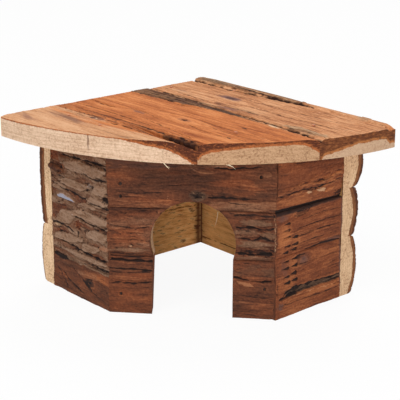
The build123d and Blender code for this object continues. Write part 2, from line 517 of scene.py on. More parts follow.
@dataclass(frozen=True)
class Coat:
    """How a kind of bark or split wood looks anywhere on it: pairs are lengths along and across the grain."""

    flake: Pair = (30.0, 7.0)
    flakes: int = 4
    flake_lift: float = 1.6
    ragged: float = 1.2
    # Strength of the painted shade at the foot of each flake's riser.
    ledge_dark: float = 0.5
    furrow: Pair = (55.0, 9.0)
    furrow_share: float = 0.10
    furrow_lift: float = -1.0
    furrow_dark: float = 0.8
    furrow_rarity: float = 0.0
    fibre: Pair = (26.0, 1.3)
    fibre_lift: float = 0.2
    fibre_tone: float = 0.3
    grit: float = 0.12
    # Strength of the painted shade in hollows.
    hollow_dark: float = 0.0
    # Strength of the painted highlight on places that stand out.
    edge_light: float = 0.0
    base: Touch = Touch(tone=0.5)
    high: Touch = Touch()
    cloud: Pair = (40.0, 16.0)
    cloud_change: Touch = Touch()
    slant: float = 0.0
    ragged_stretch: float = 1.8
    ragged_along: Ripple = Ripple(9.0, 4.0, Layer.RAGGED_ALONG)
    ragged_up: Ripple = Ripple(8.0, 4.0, Layer.RAGGED_UP, 4)
    riser: float = 0.16
    breaks: Pair = (30.0, 14.0)
    break_start: float = 0.6
    break_depth: float = 1.3
    grains: Ripple = Ripple(1.7, 1.2, Layer.GRIT, 2)
    grit_tone: float = 0.14
    hollow_reach: int = 3
    hollow_least: float = 0.1
    edge_most: float = 0.6
    bright: float = 0.9
    bright_edge: float = 0.7

    def dress(self, along: Array, up: Array, marks: tuple[Mark, ...], seed: int) -> Skin:
        """Works out the skin: flakes in layers, broken furrows, fibres, grit, then the marks, with painted
        shade and highlight.

        Args:
            along: Places along the grain, in millimetres.
            up: Places across the grain, in millimetres.
            marks: Marks laid over the coat, in order.
            seed: Picks one of many patterns.

        Returns:
            The relief and the colour shares at each place.
        """
        bent = up + self.slant * along
        for mark in marks:
            if isinstance(mark, Knot):
                bent = bent + mark.bent(along, up)
        x = along + self.ragged_stretch * self.ragged * self.ragged_along.at(along, bent, seed)
        y = bent + self.ragged * self.ragged_up.at(along, bent, seed)
        flakes = Ripple(*self.flake, Layer.FLAKES, gain=0.5).at(x, y, seed)
        step, foot = terraces(flakes, self.flakes, self.riser)
        line = waves(x / self.furrow[0], y / self.furrow[1], seed + Layer.FURROWS)
        breaks = self.break_depth * waves(x / self.breaks[0], y / self.breaks[1], seed + Layer.BREAKS)
        broken = ease(self.break_start - self.furrow_rarity + breaks)
        furrow = np.exp(-((line / self.furrow_share) ** 2)) * broken
        fibre = Ripple(*self.fibre, Layer.FIBRES, 4, 0.7).at(x, y, seed)
        grit = self.grains.at(along, up, seed)
        cloud = np.clip(Ripple(*self.cloud, Layer.CLOUDS).at(along, bent, seed), -1.0, 1.0)
        lift = self.flake_lift * (step - 0.5) + self.fibre_lift * fibre + self.grit * grit
        none = np.zeros(lift.shape)
        skin = Skin(lift + self.furrow_lift * furrow, none, none, none, none, none, none)
        skin.touch(none + 1.0, self.base)
        skin.touch(step, self.high)
        skin.touch(cloud, self.cloud_change)
        skin.tone = skin.tone + self.fibre_tone * fibre + self.grit_tone * grit
        # Furrows are dark; the foot of each flake's riser gets painted shade, as under an overhanging ledge.
        skin.dark = skin.dark + self.furrow_dark * furrow + self.ledge_dark * foot
        for number, mark in enumerate(marks):
            skin.touch(mark.share(along, up, seed + Layer.MARKS + MARK_STEP * number), mark.change)
        hollow = hollows(skin.lift, self.hollow_reach)
        # Painted shade: places lower than their surroundings are darkened, as shade would fall in them.
        skin.dark = skin.dark + self.hollow_dark * np.clip(hollow - self.hollow_least, 0.0, 1.0)
        # Painted highlight: places that stand out above their surroundings are lightened, up to a cap.
        lit = skin.tone + self.edge_light * np.clip(-hollow - self.hollow_least, 0.0, self.edge_most)
        skin.tone = np.where(skin.tone < self.bright, np.minimum(lit, self.bright_edge), skin.tone)
        return skin


class Finish(Enum):
    """The finishes of the wood, in the order of a piece's material slots."""

    BARK = 0
    SAWN = 1
    END = 2


@dataclass(frozen=True)
class Block:
    """A closed solid laid out as a block of points: across the grain, along it, and out of the sawn face."""

    name: str
    points: Array
    grain: Array
    skin: Array
    marks: Array
    section: Array
    edges: Finish
    sawn_share: float = 0.6

    def sides(self) -> tuple[Array, Array, Array]:
        """Numbers the block's outer points and joins each side's neighbours in fours, seen from outside.

        Returns:
            A mask of the outer points, the faces as point numbers, and each face's finish.
        """
        shape = self.points.shape[:3]
        outer = np.zeros(shape, bool)
        outer[[0, -1]] = outer[:, [0, -1]] = outer[:, :, [0, -1]] = True
        number = np.full(shape, -1)
        number[outer] = np.arange(outer.sum())
        sheets = [
            (number[:, :, -1], Finish.BARK),
            (number[:, :, 0].T, Finish.SAWN),
            (number[:, -1].T, Finish.END),
            (number[:, 0], Finish.END),
            (number[-1], self.edges),
            (number[0].T, self.edges),
        ]
        deep = np.broadcast_to(np.arange(shape[2]), shape)[outer]
        faces, finishes = [], []
        for sheet, finish in sheets:
            corners = (sheet[:-1, :-1], sheet[1:, :-1], sheet[1:, 1:], sheet[:-1, 1:])
            quads = np.stack([corner.ravel() for corner in corners], axis=1)
            barked = (finish is Finish.SAWN) & (deep[quads].max(axis=1) > self.sawn_share * shape[2])
            faces.append(quads)
            finishes.append(np.where(barked, Finish.BARK.value, finish.value))
        return outer, np.concatenate(faces), np.concatenate(finishes)

    def build(self) -> bpy.types.Object:
        """Makes the mesh, with the colour shares as attributes, and marks the block's corners sharp.

        Returns:
            The object, with a mesh in metres.
        """
        outer, faces, finishes = self.sides()
        mesh = bpy.data.meshes.new(self.name)
        mesh.vertices.add(int(outer.sum()))
        mesh.vertices.foreach_set("co", (self.points[outer] * MM).astype(np.float32).ravel())
        mesh.loops.add(faces.size)
        mesh.loops.foreach_set("vertex_index", faces.ravel())
        mesh.polygons.add(len(faces))
        mesh.polygons.foreach_set("loop_start", np.arange(0, faces.size, 4))
        mesh.polygons.foreach_set("material_index", finishes)
        mesh.update(calc_edges=True)
        mesh.shade_smooth()
        for name in ("grain", "skin", "marks", "section"):
            values = getattr(self, name)[outer].astype(np.float32)
            mesh.attributes.new(name, "FLOAT_VECTOR", "POINT").data.foreach_set("vector", values.ravel())
        rank = np.zeros(outer.shape, int)
        for axis, count in enumerate(outer.shape):
            place = np.arange(count).reshape([-1 if other == axis else 1 for other in range(3)])
            rank = rank + ((place == 0) | (place == count - 1))
        ends = np.empty(2 * len(mesh.edges), int)
        mesh.edges.foreach_get("vertices", ends)
        sharp = (rank[outer][ends.reshape(-1, 2)] >= 2).all(axis=1)
        mesh.attributes.new("sharp_edge", "BOOLEAN", "EDGE").data.foreach_set("value", sharp)
        mesh.validate()
        piece = bpy.data.objects.new(self.name, mesh)
        bpy.context.collection.objects.link(piece)
        return piece


@dataclass(frozen=True)
class Plan:
    """The hide's plan in millimetres, as distances from the roof's back corner along its two edges."""

    roof_left: float = 193.5
    roof_right: float = 204.9
    right_board_back: float = 58.0
    right_board_rim: float = 64.1
    left_board_bearing: float = 20.8
    left_seam_slant: float = 10.8
    trim: float = 0.03
    back_left_inset: float = 15.7
    back_right_inset: float = 16.6
    left_overhang: float = 31.2
    right_overhang: float = 32.4
    front_cut_left: float = 87.5
    front_cut_right: float = 80.0
    panel: float = 12.8
    lap: float = 12.2
    wall_height: float = 118.7
    foot_lean: float = 2.0
    top_lean: float = -1.2

    @property
    def left_end(self) -> float:
        """Where the back left wall ends."""
        return self.roof_left - self.left_overhang

    @property
    def right_end(self) -> float:
        """Where the back right wall ends."""
        return self.roof_right - self.right_overhang

    @property
    def left_width(self) -> float:
        """Width of the left side panel."""
        return self.right_end - self.back_left_inset - self.front_cut_left

    @property
    def right_width(self) -> float:
        """Width of the right side panel."""
        return self.left_end - self.back_right_inset - self.front_cut_right

    def at(self, left: Array, right: Array, height: Array = 0.0) -> Array:
        """The point at two distances from the roof's back corner, and at a height above the floor.

        Args:
            left: Distance along the roof's left edge.
            right: Distance along its right edge.
            height: Height above the floor.

        Returns:
            The point in the frame, in millimetres.
        """
        parts = [np.asarray(part, float)[..., None] for part in (left, right, height)]
        depth = np.sqrt((self.roof_left**2 + self.roof_right**2) / 2)
        apex = np.array([(self.roof_left - self.roof_right) / np.sqrt(8), depth / 2, 0.0])
        return apex + parts[0] * LEFT + parts[1] * RIGHT + parts[2] * UP

    def lean(self, height: Array) -> Array:
        """How far the front's right corner leans: outwards at the floor, inwards at the top."""
        return self.foot_lean + (self.top_lean - self.foot_lean) * height / self.wall_height

    def rim(self, turn: Array) -> tuple[Array, Array]:
        """Point of the oval rim at an angle: left reach times its cosine, right reach times its sine."""
        return (self.roof_left - self.trim) * np.cos(turn), (self.roof_right - self.trim) * np.sin(turn)


@dataclass(frozen=True)
class Wall:
    """A wall, told by where its sawn face starts at the floor, the way its bark faces and its length."""

    start: Array
    outward: Array
    length: float

    @property
    def run(self) -> Array:
        """Direction along the wall, from right to left as seen from outside."""
        return np.cross(self.outward, UP)

    def point(self, along: Array, outward: Array, height: Array) -> Array:
        """A point told by its distance along the wall, out of its sawn face and above the floor."""
        parts = [np.asarray(part, float)[..., None] for part in (along, outward, height)]
        return self.start + parts[0] * self.run + parts[1] * self.outward + parts[2] * UP


@dataclass(frozen=True)
class Slab:
    """One slab of a wall, with a flat sawn face inside and bark outside."""

    name: str
    wall: Wall
    coat: Coat
    marks: tuple[Mark, ...] = ()
    edge: float = 11.9
    crown: float = 13.3
    wane: float = 0.9
    flush: bool = True
    bark: Pair = (3.6, 0.8)
    inner_marks: tuple[Mark, ...] = ()
    sawn_rough: float = 0.5
    spacing: float = 0.46
    layers: int = 12
    seed: int = 1
    roofline: float = 118.7
    wane_change: float = 0.7
    wane_waves: float = 13.0
    least_wane: float = 0.4
    saw: Ripple = Ripple(9.0, 1.7, Layer.SAW, 2)
    figure: Ripple = Ripple(45.0, 2.6, Layer.FIGURE)
    bark_waves: Ripple = Ripple(9.0, 14.0, Layer.BARK)
    least_bark: float = 0.2
    end_stain: float = 11.0
    rim_stain: float = 1.2
    # Width of the painted shade along an inner corner.
    corner_stain: float = 3.6

    @property
    def span(self) -> Pair:
        """Heights of the slab's lower and upper edge."""
        return heights_of(self.name)

    def reach(self, height: Array, depth: Array) -> tuple[Array, Array]:
        """Where the slab starts and ends along its wall, at a height and a depth."""
        none = np.zeros(np.broadcast(height, depth).shape)
        return none, none + self.wall.length

    def bottom(self, along: Array) -> Array:
        """Height of the slab's lower edge."""
        return np.full(np.shape(along), self.span[0])

    def swell(self, along: Array, height: Array) -> Array:
        """Extra thickness, beside the front's leaning corner."""
        return np.zeros(np.broadcast(along, height).shape)

    @property
    def arched(self) -> Pair:
        """Heights between which the bark arches, past the floor or the roof where the slab is sawn flush.

        Returns:
            The lower and the upper height.
        """
        low, high = self.span
        more = 0.6 * (high - low) if self.flush else 0.0
        return low - more * (low < 1.0), high + more * (high > self.roofline - 1.0)

    def plain(self, height: Array) -> Array:
        """Thickness without relief: the edge's plus a circular arch, up to the crown's in the middle.

        Args:
            height: Heights above the floor.

        Returns:
            The thickness at each height.
        """
        low, high = self.arched
        half, rise = (high - low) / 2, self.crown - self.edge
        radius = (half**2 + rise**2) / (2 * rise)
        aside = np.clip(height - (low + high) / 2, -half, half)
        return self.edge + rise - radius + np.sqrt(radius**2 - aside**2)

    def worn(self, along: Array, height: Array) -> Array:
        """How far the bark's long edges are rounded off: a quarter circle of a radius that wavers.

        Args:
            along: Places along the wall.
            height: Heights above the floor.

        Returns:
            The depth taken off at each place.
        """
        drop = np.zeros(np.broadcast(along, height).shape)
        for number, gap in enumerate((height - self.arched[0], self.arched[1] - height)):
            change = rough(along / self.wane_waves, 0 * height + number, self.seed + Layer.WORN, 3)
            radius = np.maximum(self.wane * (1.0 + self.wane_change * change), self.least_wane)
            inside = np.clip(1.0 - gap / radius, 0.0, 1.0)
            drop = drop + radius * (1.0 - np.sqrt(1.0 - inside**2))
        return drop

    def inner_skin(self, along: Array, height: Array) -> Skin:
        """The sawn face: nearly flat, scored by the saw in slanting strokes.

        Args:
            along: Places along the wall.
            height: Heights above the floor.

        Returns:
            The skin at each place.
        """
        strokes = self.saw.at(along + 0.45 * height, height + 0.2 * along, self.seed)
        figure = self.figure.at(along, height, self.seed)
        none = np.zeros(strokes.shape)
        tone = 0.5 + 0.3 * self.sawn_rough * strokes + 0.2 * figure
        skin = Skin(0.10 + 0.09 * strokes, tone, none, none, none, none, none)
        # Painted shade: a soft dark band along the inner corner, where the two walls meet and shade falls.
        corner = 0.85 * np.exp(-((np.abs(along - self.stained_at) / self.corner_stain) ** 1.3))
        rest = self.wall.length - along
        ends = np.exp(-((along / self.end_stain) ** 4)) + np.exp(-((rest / self.end_stain) ** 4))
        rims = np.exp(-((along / self.rim_stain) ** 2)) + np.exp(-((rest / self.rim_stain) ** 2))
        skin.dark = corner + 0.3 * ends + 0.7 * rims + 0.75 * self.sawn_rough * ease(strokes * 1.5 - 0.2)
        for number, mark in enumerate(self.inner_marks):
            seed = self.seed + Layer.INNER_MARKS + MARK_STEP * number
            skin.touch(mark.share(along, height, seed), mark.change)
        return skin

    @property
    def stained_at(self) -> float:
        """Where along the wall its inner corner lies, darkened with painted shade."""
        return -99.0

    def build(self) -> bpy.types.Object:
        """Lays the slab out as a block of points and makes its mesh.

        Returns:
            The object.
        """
        low, high = self.span
        start, end = self.reach(np.array((low + high) / 2), np.array(self.crown))
        rows = max(2, round((high - low) / self.spacing))
        columns = max(2, round(float(end - start) / self.spacing))
        up_shares, along_shares = np.linspace(0, 1, rows + 1), np.linspace(0, 1, columns + 1)
        part_up, part_along = np.meshgrid(up_shares, along_shares, indexing="ij")
        guess = low + (high - low) * part_up
        start, end = self.reach(guess, self.plain(guess))
        along = start + (end - start) * part_along
        bottom = self.bottom(along)
        height = bottom + (high - bottom) * part_up
        skin = self.coat.dress(along, height, self.marks, self.seed)
        inner = self.inner_skin(along, height)
        thickness = self.plain(height) + skin.lift - self.worn(along, height) + self.swell(along, height)
        deep = np.linspace(0, 1, self.layers + 1)
        depth = inner.lift[..., None] + (thickness - inner.lift)[..., None] * deep
        tall = np.broadcast_to(height[..., None], depth.shape)
        start, end = self.reach(tall, depth)
        place = start + (end - start) * part_along[..., None]
        if np.ptp(bottom) > 0:
            foot = self.bottom(place)
            tall = foot + (high - foot) * part_up[..., None]
        bark = self.bark[0] + self.bark[1] * self.bark_waves.at(height, along, self.seed)
        over = depth - (self.plain(height) - np.maximum(bark, self.least_bark))[..., None]
        return Block(
            self.name + "_wood",
            self.wall.point(place, depth, tall),
            np.stack([place, tall, depth], axis=-1),
            layered(skin, inner, ("tone", "red", "grey"), deep),
            layered(skin, inner, ("dark", "pale", "violet"), deep),
            np.stack([over, tall - (low + high) / 2, depth], axis=-1),
            Finish.SAWN,
        ).build()


def layered(outer: Skin, inner: Skin, names: tuple[str, ...], deep: Array) -> Array:
    """Three colour shares as one block: the inner skin's on the sawn face and the outer skin's elsewhere.

    Args:
        outer: Skin of the bark.
        inner: Skin of the sawn face.
        names: The three shares, by their fields.
        deep: Whether each of the block's places, through its depth, belongs to the bark.

    Returns:
        The shares, for each place of the block.
    """
    sheets = []
    for name in names:
        over, under = getattr(outer, name)[..., None], getattr(inner, name)[..., None]
        sheets.append(np.where(deep > 0, over, under))
    return np.clip(np.stack(sheets, axis=-1), 0.0, 1.0)


@dataclass(frozen=True)
class RightSlab(Slab):
    """A slab of the right side, which follows the lean of the front's right corner."""

    plan: Plan = field(default_factory=Plan)
    share: float = 0.7
    fade: float = 30.0

    def swell(self, along: Array, height: Array) -> Array:
        """Extra thickness: a share of the corner's lean, fading away from the corner by a smooth step."""
        return self.share * self.plan.lean(height) * ease(1.0 - (self.wall.length - along) / self.fade)

    def reach(self, height: Array, depth: Array) -> tuple[Array, Array]:
        """From the back wall to the front's leaning corner."""
        start, end = super().reach(height, depth)
        return start, end + self.share * self.plan.lean(height)


@dataclass(frozen=True)
class BackSlab(Slab):
    """A slab of a back wall, whose sawn face shows through the doorway."""

    inner_corner: float = 0.0
    # How far the painted corner shade lies from the corner.
    stain_shift: float = 2.6
    flush: bool = False
    wane: float = 1.9

    @property
    def stained_at(self) -> float:
        """Where along the wall its inner corner lies, darkened with painted shade."""
        return self.inner_corner - self.stain_shift


@dataclass(frozen=True)
class Doorway:
    """A round bite over a slot that widens and leans towards the floor, at a distance along the front."""

    middle: float
    radius: float = 30.4
    centre: float = 54.6
    half_waist: float = 28.3
    half_foot: float = 29.45
    foot_shift: float = 1.1

    def reach(self, height: Array) -> tuple[Array, Array]:
        """Reach of the opening each way: the further of the circle's half chord and the slot's side.

        Args:
            height: Heights above the floor.

        Returns:
            The places of the right and the left side along the front.
        """
        chord = np.sqrt(np.clip(self.radius**2 - (height - self.centre) ** 2, 0.0, None))
        share = np.clip(1.0 - height / self.centre, 0.0, 1.0)
        sides = []
        for way in (-1, 1):
            slot = self.half_waist + (self.half_foot + way * self.foot_shift - self.half_waist) * share
            sides.append(np.where(height < self.centre, np.maximum(chord, slot), chord))
        return self.middle - sides[0], self.middle + sides[1]

    def top(self, along: Array, least: float) -> Array:
        """Height of the circle over a place along the front, or the least height where that is more.

        Args:
            along: Places along the front.
            least: The least height.

        Returns:
            The height at each place.
        """
        aside = along - self.middle
        over = self.centre + np.sqrt(np.clip(self.radius**2 - aside**2, 0.0, None))
        return np.where(np.abs(aside) < self.radius, np.maximum(over, least), least)


class Cut(Enum):
    """What a front slab has kept of its length where the doorway is."""

    WHOLE = "whole"
    LEFT = "left of the doorway"
    RIGHT = "right of the doorway"


@dataclass(frozen=True)
class FrontSlab(Slab):
    """A slab of the front: bevelled at the corners, and cut by the doorway."""

    plan: Plan = field(default_factory=Plan)
    doorway: Doorway = field(default_factory=lambda: Doorway(0.0))
    cut: Cut = Cut.WHOLE
    undercut: float = 1.2

    def bevel(self, corner: Array, normal: Array, depth: Array) -> Array:
        """Where the plane through a corner, square to a side panel, crosses the slab at a depth."""
        off = (corner - self.wall.start) @ normal - depth * (self.wall.outward @ normal)
        return off / (self.wall.run @ normal)

    def reach(self, height: Array, depth: Array) -> tuple[Array, Array]:
        """From the right corner's bevel or the doorway to the doorway or the left corner's bevel.

        Args:
            height: Heights above the floor.
            depth: Depths from the sawn inside.

        Returns:
            Where the slab starts and ends along the front.
        """
        plan = self.plan
        left_corner = plan.at(plan.left_end, plan.back_left_inset + plan.left_width)
        right_corner = plan.at(plan.back_right_inset + plan.right_width, plan.right_end)
        start, end = self.bevel(right_corner, LEFT, depth), self.bevel(left_corner, RIGHT, depth)
        none = np.zeros(np.broadcast(height, depth).shape)
        near, far = self.doorway.reach(height)
        start = start - plan.lean(height)
        if self.cut is Cut.RIGHT:
            end = near
        if self.cut is Cut.LEFT:
            lowness = np.clip(1.0 - height / self.doorway.centre, 0.0, 1.0)
            start = far - self.undercut * depth / self.crown * lowness
        return start + none, end + none

    def bottom(self, along: Array) -> Array:
        """Height of the slab's lower edge, raised where the doorway bites into it.

        Args:
            along: Places along the front.

        Returns:
            The height at each place.
        """
        low = heights_of(self.name)[0]
        if self.cut is Cut.WHOLE:
            return self.doorway.top(along, low)
        return np.full(np.shape(along), low)


@dataclass(frozen=True)
class LiveEdge:
    """How a board's top falls and its bark thickens towards a live edge."""

    width: float = 10.0
    drop: float = 1.0
    back_drop: float = 0.5
    power: float = 1.5
    bark_width: float = 20.0
    bark: float = 6.0
    bark_power: float = 1.1
    steady: float = 70.0

    def fall(self, gap: Array, right: Array) -> Array:
        """Fall of the top: a power of the nearness to the edge, times a drop that grows towards the rim."""
        drop = self.back_drop + (self.drop - self.back_drop) * ease((right - self.steady) / self.steady)
        return drop * np.clip(1.0 - gap / self.width, 0.0, 1.0) ** self.power

    def wedge(self, gap: Array) -> Array:
        """Extra bark: a power of the nearness to the edge."""
        return self.bark * np.clip(1.0 - gap / self.bark_width, 0.0, 1.0) ** self.bark_power


@dataclass(frozen=True)
class RoofBoard:
    """A roof board with flat underside and live edges, from the roof's left edge to its round rim.

    Its edges are told by their distance from the roof's right edge, at the back and on the line of the rim.
    """

    name: str
    plan: Plan
    low: Pair
    high: Pair
    coat: Coat
    marks: tuple[Mark, ...] = ()
    crown: float = 14.8
    low_edge: LiveEdge = LiveEdge()
    high_edge: LiveEdge = LiveEdge()
    bark: float = 1.5
    spacing: float = 0.72
    layers: int = 14
    seed: int = 1
    least_turn: float = 0.003
    headroom: float = 0.5
    bark_change: float = 0.12
    figure: Ripple = Ripple(60.0, 2.4, Layer.FIGURE)
    bark_waves: Ripple = Ripple(7.0, 20.0, Layer.BARK)

    def rim_angle(self, edge: Pair) -> float:
        """Angle at which a board's edge meets the rim, where both shares of its reaches make a circle.

        Args:
            edge: The edge's distances along the left edge, at the back and at the rim.

        Returns:
            The angle, from the left edge's end.
        """
        start, slope = edge[0] / self.plan.roof_left, (edge[1] - edge[0]) / self.plan.roof_left
        square, half = 1 + slope**2, start * slope
        share = (-half + np.sqrt(half**2 - square * (start**2 - 1))) / square
        return float(np.arctan2(share, start + slope * share))

    def edge_at(self, edge: Pair, right: Array) -> Array:
        """Distance of an edge's line from the roof's right edge, at a distance from its left edge."""
        return edge[0] + (edge[1] - edge[0]) * right / self.plan.roof_right

    def build(self) -> bpy.types.Object:
        """Lays the board out as a block of points, fanned from the back edge to the rim.

        Returns:
            The object.
        """
        plan = self.plan
        base = heights_of(self.name)[0]
        ceiling = heights_of(self.name)[1] - base
        low_turn, high_turn = self.rim_angle(self.low), max(self.rim_angle(self.high), self.least_turn)
        columns = round(plan.rim(low_turn)[1] / self.spacing)
        wide = max(self.high[0] - self.low[0], plan.roof_right * (low_turn - high_turn))
        rows = round(wide / self.spacing)
        parts, reaches = np.linspace(0, 1, rows + 1), np.linspace(0, 1, columns + 1)
        part, reach = np.meshgrid(parts, reaches, indexing="ij")
        turn = low_turn + (high_turn - low_turn) * part
        back = self.low[0] + (min(self.high[0], plan.rim(self.least_turn)[0]) - self.low[0]) * part
        rim_left, rim_right = plan.rim(turn)
        left = back + (rim_left - back) * reach
        right = rim_right * reach
        skin = self.coat.dress(right, left, self.marks, self.seed)
        low_gap = left - self.edge_at(self.low, right)
        high_gap = self.edge_at(self.high, right) - left
        top = self.crown - self.low_edge.fall(low_gap, right)
        top = top - self.high_edge.fall(high_gap, right) + skin.lift
        past = top - ceiling + self.headroom
        top = np.where(past > 0, ceiling - self.headroom * np.exp(-past / self.headroom), top)
        none = np.zeros(top.shape)
        figure = self.figure.at(right, left, self.seed)
        inner = Skin(none, 0.55 + 0.3 * figure, none, none, 0.2 * ease(figure), none, none)
        deep = np.linspace(0, 1, self.layers + 1)
        depth = top[..., None] * deep
        bark = self.bark + self.low_edge.wedge(low_gap) + self.high_edge.wedge(high_gap)
        bark = bark * (1.0 + self.bark_change * self.bark_waves.at(left, right, self.seed))
        wide_left = np.broadcast_to(left[..., None], depth.shape)
        wide_right = np.broadcast_to(right[..., None], depth.shape)
        return Block(
            self.name + "_wood",
            plan.at(wide_left, wide_right, base + depth),
            np.stack([wide_right, wide_left, depth], axis=-1),
            layered(skin, inner, ("tone", "red", "grey"), deep),
            layered(skin, inner, ("dark", "pale", "violet"), deep),
            np.stack(
                [depth - (top - bark)[..., None], wide_left - (self.low[0] + self.high[0]) / 2, depth],
                axis=-1,
            ),
            Finish.BARK,
        ).build()


@dataclass(frozen=True)
class Noise:
    """Noise on a surface: its waves a millimetre in three directions, its detail and its roughness."""

    scale: Triple
    detail: float
    rough: float


@dataclass(frozen=True)
class Range:
    """Values from low to high, which stand for shares from 0 to the weight."""

    low: float
    high: float
    weight: float = 1.0


class NodeTree:
    """The nodes of a material or of the world, added and linked one by one."""

    def __init__(self, owner: bpy.types.Material | bpy.types.World) -> None:
        """Empties the nodes of their owner.

        Args:
            owner: The material or the world.
        """
        owner.use_nodes = True
        self.owner = owner
        self.nodes, self.links = owner.node_tree.nodes, owner.node_tree.links
        self.nodes.clear()

    def add(self, kind: str, inputs: dict | None = None, **settings: object) -> bpy.types.Node:
        """Adds a node, sets its properties, and sets or links its inputs.

        Args:
            kind: The node's type.
            inputs: Values or output sockets, by the input's name or number.
            settings: Properties of the node.

        Returns:
            The node.
        """
        node = self.nodes.new(kind)
        for name, value in settings.items():
            setattr(node, name, value)
        for name, value in (inputs or {}).items():
            if isinstance(value, Socket):
                self.links.new(value, node.inputs[name])
            else:
                node.inputs[name].default_value = value
        return node

    def math(self, operation: str, first: Value, second: Value = 0.0) -> Socket:
        """Joins two numbers by an operation."""
        return self.add("ShaderNodeMath", {0: first, 1: second}, operation=operation).outputs[0]

    def plus(self, first: Value, second: Value, weight: float) -> Socket:
        """The first value plus the second times a weight."""
        return self.math("ADD", first, self.math("MULTIPLY", second, weight))

    def sway(self, value: Value, noise: Socket, weight: float) -> Socket:
        """A value plus a noise's distance from its middle, one half, times a weight."""
        return self.plus(value, self.math("SUBTRACT", noise, 0.5), weight)

    def share(self, value: Value, span: Range) -> Socket:
        """Turns a range of values into smooth shares, from 0 to the range's weight."""
        inputs = {"Value": value, "From Min": span.low, "From Max": span.high, "To Max": span.weight}
        return self.add("ShaderNodeMapRange", inputs, clamp=True, interpolation_type="SMOOTHSTEP").outputs[0]

    def mix(self, share: Value, first: Paint, second: Paint) -> Socket:
        """Blends two colours, the second by its share."""
        inputs = {0: share, 6: painted(first), 7: painted(second)}
        return self.add("ShaderNodeMix", inputs, data_type="RGBA").outputs[2]

    def ramp(self, share: Value, places: tuple[float, ...], colours: tuple[Colour, ...]) -> Socket:
        """Gives each share a colour.

        Args:
            share: The share to colour.
            places: Shares at which the colours stand.
            colours: A colour for each place, or for the first few.

        Returns:
            The colour, blended between the places.
        """
        node = self.add("ShaderNodeValToRGB", {0: share})
        band = node.color_ramp.elements
        while len(band) < len(colours):
            band.new(0.5)
        for element, place, colour in zip(band, places, colours):
            element.position = place
            element.color = painted(colour)
        return node.outputs[0]

    def attribute(self, name: str) -> Socket:
        """The three values that a mesh attribute holds at each place."""
        return self.add("ShaderNodeAttribute", attribute_name=name).outputs["Vector"]

    def split(self, vector: Socket) -> tuple[Socket, ...]:
        """The three values of a vector."""
        return tuple(self.add("ShaderNodeSeparateXYZ", {0: vector}).outputs)

    def noise(self, vector: Socket, noise: Noise) -> Socket:
        """Lays a noise on places in millimetres.

        Args:
            vector: The places.
            noise: Its waves, detail and roughness.

        Returns:
            The noise, from 0 to 1, mostly near one half.
        """
        scaled = self.add("ShaderNodeVectorMath", {0: vector, 1: noise.scale}, operation="MULTIPLY")
        inputs = {"Vector": scaled.outputs[0], "Scale": 1.0, "Detail": noise.detail, "Roughness": noise.rough}
        return self.add("ShaderNodeTexNoise", inputs, noise_dimensions="3D").outputs["Fac"]

    def seen(self) -> Socket:
        """Tells rays that see a surface from rays that only light things.
        
        Returns:
            One for a ray from the camera, off a gloss or through glass, and zero for the others.
        """
        ray = self.add("ShaderNodeLightPath").outputs
        bent = self.math("MAXIMUM", ray["Is Glossy Ray"], ray["Is Transmission Ray"])
        return self.math("MAXIMUM", ray["Is Camera Ray"], bent)

    def surface(
        self, colour: Paint, roughness: Value, height: Socket, bump: float, gloss: float, metal: float = 0.0
    ) -> bpy.types.Material:
        """Ends a material with one shader.

        Args:
            colour: Colour of the surface.
            roughness: Its roughness.
            height: Its fine relief, in millimetres.
            bump: Share of the relief that shows.
            gloss: Its specular level.
            metal: Its share of metal.

        Returns:
            The material.
        """
        normal = self.add("ShaderNodeBump", {"Strength": bump, "Distance": MM, "Height": height}).outputs[0]
        inputs = {"Base Color": painted(colour), "Roughness": roughness, "Metallic": metal, "Normal": normal}
        shader = self.add("ShaderNodeBsdfPrincipled", inputs | {"Specular IOR Level": gloss})
        self.add("ShaderNodeOutputMaterial", {"Surface": shader.outputs[0]})
        return self.owner


def linear(colour: Colour) -> Colour:
    """A display colour, from 0 to 255, as the light that it stands for."""
    parts = np.asarray(colour) / 255.0
    return tuple(np.where(parts <= 0.04045, parts / 12.92, ((parts + 0.055) / 1.055) ** 2.4).tolist())


def painted(colour: Paint) -> Socket | tuple[float, ...]:
    """A display colour as light that covers fully; a socket stays as it is."""
    return colour if isinstance(colour, Socket) else (*linear(colour), 1.0)


